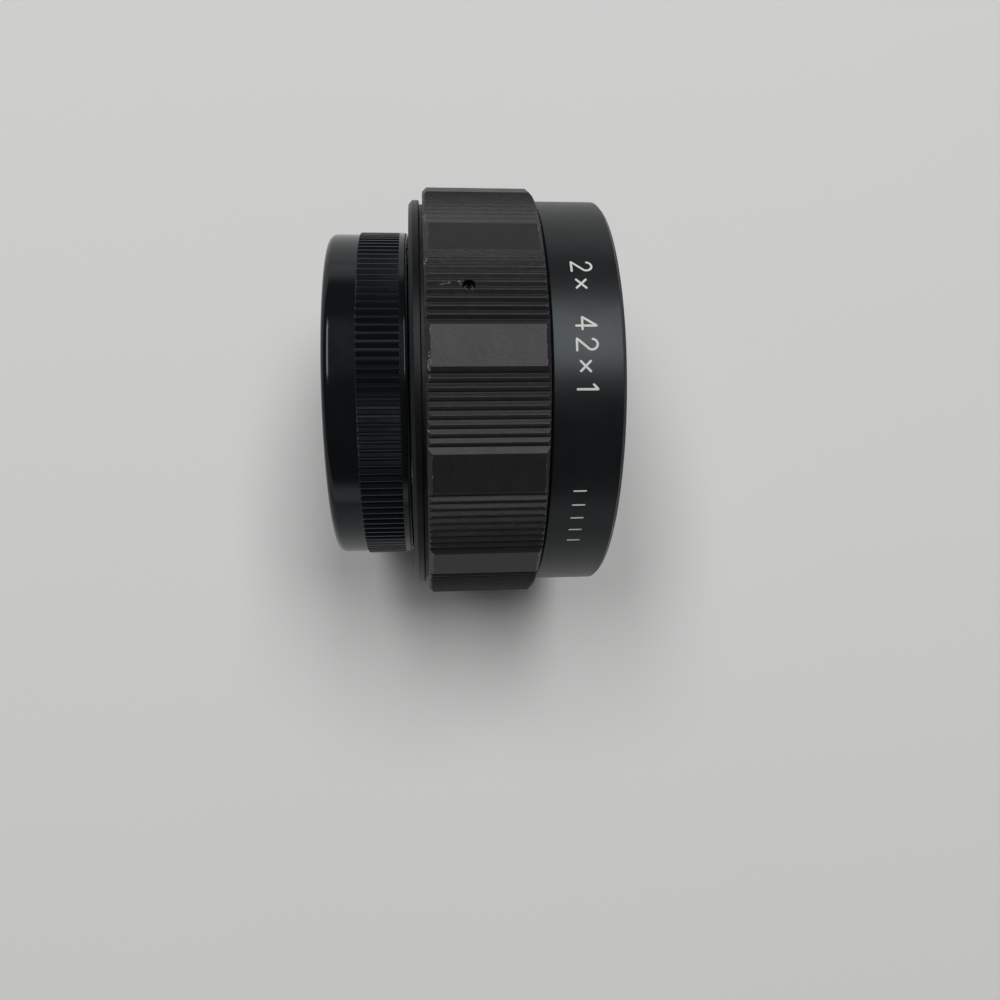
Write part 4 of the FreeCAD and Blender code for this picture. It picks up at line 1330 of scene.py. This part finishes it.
@dataclass
class Screws(Assembly):
    """The slotted screws of the two mount rings, and the grub screws of the grip."""

    count: int = 4
    first_deg: float = 45.0
    shank_r: float = 0.8
    head_r: float = 1.45
    head_h: float = 0.75
    slot_w: float = 0.4
    slot_d: float = 0.35
    slot_turns_deg: tuple[float, ...] = (14.0, 71.0, 128.0, 40.0)
    hole_slip: float = 0.05
    rear_ring_r: float = 23.3
    front_ring_r: float = 25.199
    length: float = 3.2
    grub_r: float = 0.8
    grub_edge: float = 0.1
    grub_top_r: float = 30.339
    grub_tip_r: float = 27.6
    grub_slot_w: float = 0.3
    grub_slot_d: float = 0.5
    head_wear: float = 0.6
    head_margin: float = 0.1
    slot_past: float = 1.2
    drill_past: float = 3.0
    drill_overlap: float = 0.1
    grub_segments: int = 40

    def _angles(self) -> list[float]:
        """Angles of the mount rings' screws, in radians."""
        return spread(self.count, math.radians(self.first_deg))

    def holes(self, face_x: float, way: float, ring_r: float) -> list[Piece]:
        """Cutters of the countersunk holes in one face.

        Args:
            face_x: The face that the heads are flush with.
            way: 1.0 where the shanks run to +X, -1.0 where they run to -X.
            ring_r: Radius of the circle that the screws stand on.

        Returns:
            The cutters, two for each hole.
        """
        cutters = []
        depths = (-self.hole_slip, self.head_h, self.length + self.drill_past)
        for angle in self._angles():
            start, cone_end, end = (polar(face_x + way * depth, ring_r, angle) for depth in depths)
            shank_r = self.shank_r + self.hole_slip
            cutters.append(bar(self.head_r + 2 * self.hole_slip, start, cone_end, shank_r))
            cutters.append(bar(shank_r, cone_end.lerp(start, self.drill_overlap), end))
        return cutters

    def _set(self, name: str, node: str, face_x: float, way: float, ring_r: float) -> None:
        """Builds and seats four countersunk screws as one piece.

        Args:
            name: The piece's name.
            node: Its CAD node.
            face_x: As in holes.
            way: As in holes.
            ring_r: As in holes.
        """
        skin, neck_x, end_x = Skin(), face_x + way * self.head_h, face_x + way * self.length
        samples = softened([(face_x, 0.0), (face_x, self.head_r, 0.06), (neck_x, self.shank_r),
                            (end_x, self.shank_r, 0.1), (end_x, 0.0)], closed=False, guard=0.05)
        rim = self.head_r - self.head_margin
        samples = [replace(s, wear=self.head_wear if s.v > rim else 0.0) for s in samples]
        for angle in self._angles():
            skin.turned(samples, HOLE, (ring_r, angle))
        piece = skin.piece(name)
        corner = Vector((self.slot_d, self.slot_w / 2, self.head_r * self.slot_past)) * MM
        cutters = []
        for angle, turned in zip(self._angles(), self.slot_turns_deg):
            cutter = block(-corner, corner, math.radians(turned))
            cutter.data.transform(Matrix.Translation(polar(face_x, ring_r, angle)))
            cutters.append(cutter)
        drill(piece, cutters)
        self.seat(piece, Slot.SCREW, [SCREW_STEEL], node)

    def _grub_screws(self) -> None:
        """Builds and seats the grub screws as one piece."""
        tip, top, edge, along = self.grub_tip_r, self.grub_top_r, self.grub_edge, Vector((1, 0, 0))
        profile = ((tip, 0.0), (tip, self.grub_r - 2 * edge), (tip + 2 * edge, self.grub_r),
                   (top - edge, self.grub_r), (top, self.grub_r - edge), (top, 0.0))
        skin = Skin()
        for angle in self.grub_angles():
            side = polar(0.0, 1.0, angle).normalized().cross(along)
            skin.grid([[polar(self.grub_x, lift, angle) + (along * math.cos(t) + side * math.sin(t)) * r * MM
                        for t in spread(self.grub_segments)] for lift, r in profile])
        piece = skin.piece("grub_screws")
        half = self.grub_slot_w / 2
        low = Vector((self.grub_x - half, -1.0, top - self.grub_slot_d)) * MM
        high = Vector((self.grub_x + half, 1.0, top + 1)) * MM
        drill(piece, [block(low, high, angle) for angle in self.grub_angles()])
        self.seat(piece, Slot.SCREW, [GRUB_STEEL], "grip_set_screws")

    def build(self) -> None:
        """Builds and seats all the screws."""
        self._set("rear_screws", "rear_mount_screws", 0.0, 1.0, self.rear_ring_r)
        self._set("front_screws", "front_mount_screws", self.front_face_x, -1.0, self.front_ring_r)
        self._grub_screws()


@dataclass(frozen=True)
class Element:
    """A glass element. A radius is positive where the surface bulges outwards."""

    node: str
    front_radius: float
    rear_radius: float
    finish: GlassFinish
    front_rim: float = 0.0
    rear_rim: float = 0.0
    rings: int = 24
    segments: int = 128

    def _surface(self, radius: float, open_r: float, edge_x: float, way: float) -> list[Sample]:
        """Samples from the axis to the edge of one surface.

        Args:
            radius: Its signed radius.
            open_r: Where the ground surface ends.
            edge_x: The outermost plane that it reaches: its vertex if it bulges, its rim if not.
            way: 1.0 for the front surface, -1.0 for the rear one.

        Returns:
            The samples.
        """
        bulge = abs(radius)
        vertex = edge_x if radius > 0 else edge_x - way * sag(bulge, open_r)
        lean = -way if radius > 0 else way
        heights = [open_r * k / self.rings for k in range(self.rings + 1)]
        return [Sample(vertex + lean * sag(bulge, h), h) for h in heights]

    def build(self) -> Piece:
        """Builds the element from its CAD box, with its blackened edge as a second material.

        Returns:
            The new object.
        """
        x0, x1 = span(self.node)
        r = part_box(self.node)[1].z / MM
        front = self._surface(self.front_radius, r - self.front_rim, x1, 1.0)
        rear = self._surface(self.rear_radius, r - self.rear_rim, x0, -1.0)
        rims = (rear, self.rear_rim), (front, self.front_rim)
        edge = [Sample(side[-1].u, r) for side, rim in rims if rim]
        black = range(len(rear) - 1, len(rear) + len(edge))
        skin = Skin()
        skin.turned(rear + edge + front[::-1], self.segments, kind=lambda i: int(i in black))
        return skin.piece(self.node + "_glass")


@dataclass
class Optics(Assembly):
    """The lens block with its glass and slotted retaining rings."""

    flange_r: float = 15.8
    flange_t: float = 1.4
    stop_front_x: float = 11.0
    stop_rear_x: float = 8.6
    stop_r: float = 10.8
    front_bore_r: float = 12.15
    rear_bore_r: float = 12.55
    trap_start: float = 0.3
    trap_pitch: float = 0.45
    trap_depth: float = 0.2
    front_ring_w: float = 1.22
    rear_ring_w: float = 1.32
    ring_slot_w: float = 1.2
    ring_slot_d: float = 0.6
    ring_segments: int = 192

    def _block(self) -> None:
        """The tube, with light-trap grooves before the front glass."""
        rear_x, front_x = span("lens_block")
        ring_x = span("front_retaining_ring")[1]
        flange_x, bore, trap = self.partition_x + self.partition_t, self.front_bore_r, self.trap_depth
        flange_front = flange_x + self.flange_t
        rows: list[Row] = [
            (rear_x, self.rear_bore_r, 0.1), (rear_x, self.block_r, 0.12), (flange_x, self.block_r),
            (flange_x, self.flange_r, 0.05), (flange_front, self.flange_r, 0.15),
            (flange_front, self.block_r), (front_x, self.block_r, 0.15), (front_x, bore + trap, 0.05)]
        first = front_x - self.trap_start
        for k in range(int((first - ring_x) / self.trap_pitch)):
            x = first - k * self.trap_pitch
            rows += [(x, bore, 0.02, 0.0), (x - self.trap_pitch / 2, bore + trap, 0.02)]
        rows += [(ring_x + 0.05, bore), (self.stop_front_x, bore), (self.stop_front_x, self.stop_r),
                 (self.stop_rear_x, self.stop_r), (self.stop_rear_x, self.rear_bore_r)]
        self.seat(lathe("lens_tube", rows), Slot.BLOCK, [BLOCK_BLACK], "lens_block")

    def _ring(self, node: str, name: str, bore_r: float, width: float, front: bool) -> None:
        """A retaining ring with two spanner slots.

        Args:
            node: Its CAD node.
            name: The piece's name.
            bore_r: The bore that it sits in.
            width: Its width across the axis.
            front: Whether its slots are in its front face.
        """
        x0, x1 = span(node)
        outer = bore_r - self.slip
        bore = outer - width
        piece = lathe(name, [(x0, bore, 0.05), (x0, outer, 0.08), (x1, outer, 0.08), (x1, bore, 0.05)],
                      self.ring_segments)
        middle = Vector((x1 if front else x0, 0.0, 0.0)) * MM
        corner = Vector((self.ring_slot_d, outer + 1, self.ring_slot_w / 2)) * MM
        drill(piece, [block(middle - corner, middle + corner)])
        self.seat(piece, Slot.BLOCK, [BLOCK_BLACK], node)

    def build(self) -> None:
        """Builds and seats the optics."""
        self._block()
        self._ring("front_retaining_ring", "front_lock_ring", self.front_bore_r, self.front_ring_w, True)
        self._ring("rear_retaining_ring", "rear_lock_ring", self.rear_bore_r, self.rear_ring_w, False)
        for element in (Element("front_element", 60.0, 32.0, FRONT_GLASS),
                        Element("front_doublet_element", -32.0, -32.0, FRONT_GLASS, rear_rim=1.5),
                        Element("third_element", -45.0, -60.0, REAR_GLASS, front_rim=1.9, rear_rim=1.6),
                        Element("rear_element", 28.0, 50.0, REAR_GLASS)):
            self.seat(element.build(), Slot.GLASS, [element.finish, MATT_BLACK], element.node)


@dataclass
class Pusher(Assembly):
    """The diaphragm pusher: crescent, pin, guide rods, collars, bushes and return springs."""

    pin_r: float = 0.8
    pin_round_share: float = 0.94
    pin_wear: float = 0.5
    shoulder_r: float = 1.3
    shoulder_l: float = 1.2
    plate_inner_r: float = 15.6
    plate_outer_r: float = 20.1
    plate_half_deg: float = 46.0
    plate_end_round: float = 0.95
    end_share: float = 1.2
    plate_soft: float = 0.08
    plate_edge_share: float = 0.3
    plate_weld: float = 1e-4
    plate_points: int = 24
    rod_ring_r: float = 18.3
    rod_half_deg: float = 34.0
    rod_r: float = 0.9
    rod_shoulder_r: float = 1.4
    bush_bore_r: float = 0.96
    bush_r: float = 1.6
    bush_flange_r: float = 2.0
    bush_flange_t: float = 0.4
    collar_r: float = 1.9
    collar_bore_r: float = 0.93
    spring_mean_r: float = 1.4
    wire_r: float = 0.15
    wire_segments: int = 12
    spring_turns: float = 5.0
    dead_turns: float = 0.75
    dead_pitch: float = 2.1
    points_per_turn: int = 28
    travel: float = 2.5
    play: float = 0.02

    def _crescent(self) -> list[Vector]:
        """The plate's outline across the axis, in millimetres.

        Returns:
            Its points, none of them doubled.
        """
        half = math.radians(self.plate_half_deg)
        knees: list[tuple[float, float, float]] = []
        for r, way in ((self.plate_outer_r, 1.0), (self.plate_inner_r, -1.0)):
            reach, count = half - self.end_share * self.plate_end_round / r, self.plate_points
            knees.append((r, -way * half, self.plate_end_round))
            knees += [(r, way * reach * (2 * k / count - 1), 0.0) for k in range(count + 1)]
            knees.append((r, way * half, self.plate_end_round))
        flat = [(-r * math.sin(math.pi + a), r * math.cos(math.pi + a), soft) for r, a, soft in knees]
        ring = [Vector((s.u, s.v)) for s in softened(flat, steps=6, guard=0.05)]
        return [p for i, p in enumerate(ring) if (p - ring[i - 1]).length > self.plate_weld]

    def _plate(self) -> None:
        """The stamped crescent with rounded ends and softened edges."""
        ring = self._crescent()
        count = len(ring)
        area = sum(a.x * b.y - b.x * a.y for a, b in zip(ring, ring[1:] + ring[:1]))
        ways = [(ring[(i + 1) % count] - ring[i - 1]).normalized() for i in range(count)]
        inward = [Vector((-way.y, way.x)) * math.copysign(1.0, area) for way in ways]
        x0, x1 = span("pusher_plate")
        soft, edge = self.plate_soft, self.plate_soft * self.plate_edge_share
        levels = ((x0, soft), (x0 + edge, edge), (x0 + soft, 0.0), (x1 - soft, 0.0), (x1 - edge, edge),
                  (x1, soft))
        rows = [[Vector((x, *(p + way * inset))) * MM for p, way in zip(ring, inward)] for x, inset in levels]
        skin = Skin()
        skin.closed_bar(rows, [[float(0 < i < len(levels) - 1)] * count for i in range(len(levels))])
        self.seat(skin.piece("pusher_crescent", 30.0), Slot.PLATE, [PLATE_STEEL], "pusher_plate",
                  body=Body.PUSHER)

    def _pin(self) -> None:
        """The pin that the camera pushes, with a round tip."""
        x0, x1 = span("actuator_pin")
        plate_x = span("pusher_plate")[0]
        shoulder_x = plate_x - self.shoulder_l
        piece = lathe("push_pin", [
            (x0, 0.0), (x0, self.pin_r, self.pin_r * self.pin_round_share, self.pin_wear),
            (shoulder_x, self.pin_r),
            (shoulder_x, self.shoulder_r, 0.1), (plate_x, self.shoulder_r, 0.05), (plate_x, self.pin_r),
            (x1, self.pin_r, 0.15), (x1, 0.0)], SMALL, (self.pin_ring_r, math.pi), steps=8)
        self.seat(piece, Slot.ROD, [ROD_STEEL], "actuator_pin", body=Body.PUSHER)

    def _rod(self, side: str, angle: float) -> None:
        """One stepped guide rod with its collar.

        Args:
            side: The side's name, left or right.
            angle: Its angle round the axis, in radians.
        """
        x0, x1 = span(f"guide_rod_{side}")
        plate_x, shoulder_x = span("pusher_plate")[0], span(f"guide_bush_{side}")[1] + self.play
        thin, thick, bore, outer = self.rod_r, self.rod_shoulder_r, self.collar_bore_r, self.collar_r
        rod = [(x0, 0.0), (x0, thin, 0.2), (shoulder_x, thin), (shoulder_x, thick, 0.1),
               (plate_x, thick, 0.05), (plate_x, thin), (x1, thin, 0.15), (x1, 0.0)]
        x0, x1 = span(f"spring_seat_{side}")
        collar = [(x0, bore, 0.05), (x0, outer, 0.12), (x1, outer, 0.12), (x1, bore, 0.05)]
        for name, rows, node in (("stepped_rod", rod, "guide_rod"), ("spring_collar", collar, "spring_seat")):
            piece = lathe(f"{name}_{side}", rows, SMALL, (self.rod_ring_r, angle))
            self.seat(piece, Slot.ROD, [ROD_STEEL], f"{node}_{side}", body=Body.PUSHER)

    def _bush(self, side: str, angle: float) -> None:
        """One flanged bush in the partition.

        Args:
            side: The side's name, left or right.
            angle: Its angle round the axis, in radians.
        """
        x0, x1 = span(f"guide_bush_{side}")
        flange_x = x1 - self.bush_flange_t
        piece = lathe(f"flanged_bush_{side}", [
            (x0, self.bush_bore_r, 0.08), (x0, self.bush_r, 0.08), (flange_x, self.bush_r),
            (flange_x, self.bush_flange_r, 0.04), (x1, self.bush_flange_r, 0.1),
            (x1, self.bush_bore_r, 0.08)], SMALL, (self.rod_ring_r, angle))
        self.seat(piece, Slot.BRASS, [BRASS], f"guide_bush_{side}")

    def _spring(self, side: str, angle: float) -> None:
        """One coil spring with closed ends.

        Args:
            side: The side's name, left or right.
            angle: Its angle round the axis, in radians.
        """
        free_x, fixed_x = span(f"spring_seat_{side}")[1], span(f"guide_bush_{side}")[0]
        x0, x1 = free_x + self.wire_r + self.play, fixed_x - self.wire_r - self.play
        turns, dead = self.spring_turns + 2 * self.dead_turns, self.dead_turns
        rise = self.dead_pitch * self.wire_r * dead
        centre, count = polar(0.0, self.rod_ring_r, angle), int(turns * self.points_per_turn)
        spine = []
        for t in (turns * i / count for i in range(count + 1)):
            if t < dead:
                x = x0 + rise * t / dead
            elif t > turns - dead:
                x = x1 - rise * (turns - t) / dead
            else:
                x = x0 + rise + (x1 - x0 - 2 * rise) * (t - dead) / self.spring_turns
            spine.append(polar(x, self.spring_mean_r, 2 * math.pi * t) + centre)
        rows = []
        for i, p in enumerate(spine):
            way = (spine[min(i + 1, count)] - spine[max(i - 1, 0)]).normalized()
            out = (p - centre - Vector((p.x, 0, 0))).normalized()
            across = way.cross(out)
            rows.append([p + (out * math.cos(a) + across * math.sin(a)) * self.wire_r * MM
                         for a in spread(self.wire_segments)])
        skin = Skin()
        skin.closed_bar(rows)
        piece = skin.piece(f"coil_spring_{side}", 60.0)
        self.seat(piece, Slot.SPRING, [SPRING_STEEL], f"return_spring_{side}")
        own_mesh(piece)

    def build(self) -> None:
        """Builds and seats the pusher and what it slides in."""
        self._plate()
        self._pin()
        for side, way in (("left", -1), ("right", 1)):
            angle = math.radians(180.0 + way * self.rod_half_deg)
            self._rod(side, angle)
            self._bush(side, angle)
            self._spring(side, angle)


@dataclass
class Cap(Assembly):
    """The screw-on rear cap: a turned cup with a band of ribs and a female thread."""

    band_r: float = 24.7
    rib_r: float = 25.0
    end_x: float = -11.8
    lip_x: float = -0.2
    end_round: float = 1.1
    lip_round: float = 0.7
    knurl_x: float = -7.26
    knurl_end_x: float = -1.42
    ribs: int = 132
    rib_phase: float = 0.2
    rib_top_share: float = 0.12
    rib_shoulder: float = 0.07
    shoulder_lift: float = 0.93
    shoulder_wear: float = 0.8
    top_wear: float = 0.2
    cavity_r: float = 20.6
    end_t: float = 1.4
    step_r: float = 19.0
    step_depth: float = 0.3
    thread_l: float = 4.2
    thread_crest_r: float = 21.05
    thread_root_r: float = 21.5
    segments: int = 264
    lip_overlap: float = 0.1

    def _cup(self, skin: Skin) -> None:
        """Adds the cup without its ribs.

        Args:
            skin: The skin to add to.
        """
        lip, end, band, inner_x = self.lip_x, self.end_x, self.band_r, self.lip_x - self.thread_l
        thread = Thread(inner_x, lip, self.thread_crest_r, self.thread_root_r, mouth=lip)
        floor_x, step_x, knurl_x = end + self.end_t, end + self.step_depth, self.knurl_end_x
        outside = softened([
            (lip, thread.mouth_r), (lip, self.rib_r, self.lip_round, 0.35), (knurl_x, self.rib_r, 0.04, 0.8),
            (knurl_x, band), (end, band, self.end_round, 0.0), (end, self.step_r, 0.08),
            (step_x, self.step_r, 0.08), (step_x, 0.0)], closed=False, steps=10)
        inside = softened([(floor_x, 0.0), (floor_x, self.cavity_r, 0.4), (inner_x, self.cavity_r, 0.05),
                           (inner_x, thread.end_r)], closed=False, steps=6)
        for samples in (outside, inside):
            skin.turned(samples, self.segments)
        thread.onto(skin, self.segments)

    def _ribs(self, skin: Skin) -> None:
        """Adds the ribs, each a closed bar seated on the band.

        Args:
            skin: The skin to add to.
        """
        pitch, rise, top = 2 * math.pi / self.ribs, self.rib_r - self.band_r, self.rib_top_share / 2
        half = ((0.5, -0.1), (0.5, 0.0), (top + self.rib_shoulder, self.shoulder_lift), (top, 1.0))
        section = [(-share, lift) for share, lift in half] + list(half[::-1])
        wear_at = {1.0: self.top_wear, self.shoulder_lift: self.shoulder_wear}
        worn = [wear_at.get(lift, 0.0) for _, lift in section]
        start = self.knurl_x
        ends = ((start, 0.25), (start + 0.05, 0.7), (start + 0.16, 1.0), (self.knurl_end_x, 1.0))
        for middle in ((i + self.rib_phase) * pitch for i in range(self.ribs)):
            rows = [[polar(x, self.band_r + rise * lift * (full if lift > 0 else 1.0), middle + share * pitch)
                     for share, lift in section] for x, full in ends]
            skin.closed_bar(rows, [worn] * len(rows))

    def build(self) -> None:
        """Builds and seats the cap, with its lip and its closed end in finishes of their own."""
        skin = Skin()
        self._cup(skin)
        self._ribs(skin)
        cup = skin.piece("ribbed_cap", 38.0)
        for face in cup.data.polygons:
            x, outward = face.center.x / MM, math.hypot(face.center.y, face.center.z) / MM
            if x > self.knurl_end_x - self.lip_overlap:
                face.material_index = 1
            elif x < self.end_x + self.end_round and outward < self.band_r - self.end_round:
                face.material_index = 2
        self.seat(cup, Slot.CAP, [CAP_PLASTIC, CAP_LIP, CAP_FACE], "rear_cap", body=Body.CAP)


@dataclass
class Studio:
    """A pale floor, two soft panels overhead, a room with pale walls and a dim ceiling, and the camera."""

    floor_z: float
    floor_size: float = 6.0
    floor_colour: Triple = (0.738, 0.738, 0.73)
    panels: tuple[tuple[float, float], ...] = ((-0.8, -0.32), (0.07, 0.64))
    panel_depth: tuple[float, float] = (0.08, 1.28)
    panel_height: float = 1.5
    panel_glow: float = 22.5
    wall_light: float = 0.85
    ceiling_light: float = 0.03
    wall_height: tuple[float, float] = (0.06, 0.26)
    wall_rise: float = 0.08
    sky_seen: float = 0.62
    camera_mm: Triple = (1.60, -27.26, 134.83)
    camera_turn_deg: Triple = (4.430, -4.982, -1.459)
    focal_mm: float = 30.384
    sensor_mm: float = 36.0

    def _floor(self, shop: EffectShop) -> None:
        """A plain matt floor under the object.

        Args:
            shop: Where the shared effects come from.
        """
        bpy.ops.mesh.primitive_plane_add(size=self.floor_size, location=(0, 0, self.floor_z))
        floor = bpy.context.object
        floor.name = "floor"
        paper, w, shader = new_material("floor_paper")
        colour = shop.place(w, Effect.TONE, Color=(*self.floor_colour, 1.0), Spread=0.006, Scale=12.0)
        w.feed(shader, {"Base Color": colour, "Roughness": 0.7, "Specular IOR Level": 0.2})
        floor.data.materials.append(paper)
        floor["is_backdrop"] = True

    def _panels(self) -> None:
        """The soft panels, level above the object and behind it, with a gap over its rear cap."""
        near, far = self.panel_depth
        for left, right in self.panels:
            data = bpy.data.lights.new("panel", "AREA")
            data.shape = "RECTANGLE"
            data.size, data.size_y = right - left, far - near
            data.energy = self.panel_glow * data.size * data.size_y
            lamp = bpy.data.objects.new("panel", data)
            lamp.location = ((left + right) / 2, (near + far) / 2, self.panel_height)
            bpy.context.scene.collection.objects.link(lamp)

    def _room(self) -> None:
        """Pale walls round the object, a little higher behind and before it, under a dim ceiling."""
        world = bpy.data.worlds.new("room")
        world.use_nodes = True
        bpy.context.scene.world = world
        w = Wiring(world.node_tree)
        parts = w.node("SeparateXYZ", {0: w.node("TexCoord").outputs["Generated"]}).outputs
        rise = w.math("MULTIPLY", w.math("ABSOLUTE", parts["Y"]), self.wall_rise)
        height = w.math("SUBTRACT", parts["Z"], rise)
        level = w.ramp(height, *self.wall_height, self.wall_light, self.ceiling_light)
        seen = w.node("LightPath").outputs["Is Camera Ray"]
        shown = w.math("ADD", w.math("MULTIPLY", seen, self.sky_seen),
                       w.math("MULTIPLY", w.math("SUBTRACT", 1.0, seen), level))
        w.feed(world.node_tree.nodes["Background"], {"Strength": shown, "Color": (1.0, 1.0, 1.0, 1.0)})

    def _camera(self) -> None:
        """The camera where the photograph's was."""
        data = bpy.data.cameras.new("camera")
        data.lens, data.sensor_width, data.clip_start = self.focal_mm, self.sensor_mm, MM
        camera = bpy.data.objects.new("camera", data)
        camera.location = Vector(self.camera_mm) * MM
        camera.rotation_euler = tuple(math.radians(t) for t in self.camera_turn_deg)
        bpy.context.scene.collection.objects.link(camera)
        bpy.context.scene.camera = camera

    def build(self, shop: EffectShop) -> None:
        """Builds the stage round the object.

        Args:
            shop: Where the shared effects come from.
        """
        self._floor(shop)
        self._panels()
        self._room()
        self._camera()
        bpy.context.scene.view_settings.view_transform = "Standard"
        LOG.info("stage is set")


def corners() -> list[list[float]]:
    """The shown object's lowest and highest corner, as plain lists."""
    return [list(corner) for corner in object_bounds()]


def main() -> None:
    """Dresses the frame, sub-assembly by sub-assembly."""
    logging.basicConfig(level=logging.INFO, format="%(name)s: %(message)s")
    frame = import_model()
    cad_box = corners()
    wardrobe = Wardrobe()
    screws = Screws(wardrobe)
    for early in (Barrel, Marks, Grip):
        early(wardrobe).build()
    for end in (RearEnd, FrontEnd):
        end(wardrobe).build(screws)
    screws.build()
    for late in (Optics, Pusher, Cap):
        late(wardrobe).build()
    plain = Assembly(wardrobe)
    for node, finish in (("front_mount_shim", BRASS), ("lens_block_nut", BLOCK_BLACK),
                         ("element_spacer", BLOCK_BLACK)):
        plain.keep(frame, node, finish)
    Studio(floor_z=cad_box[0][2]).build(wardrobe.shop)


if __name__ == "__main__":
    main()
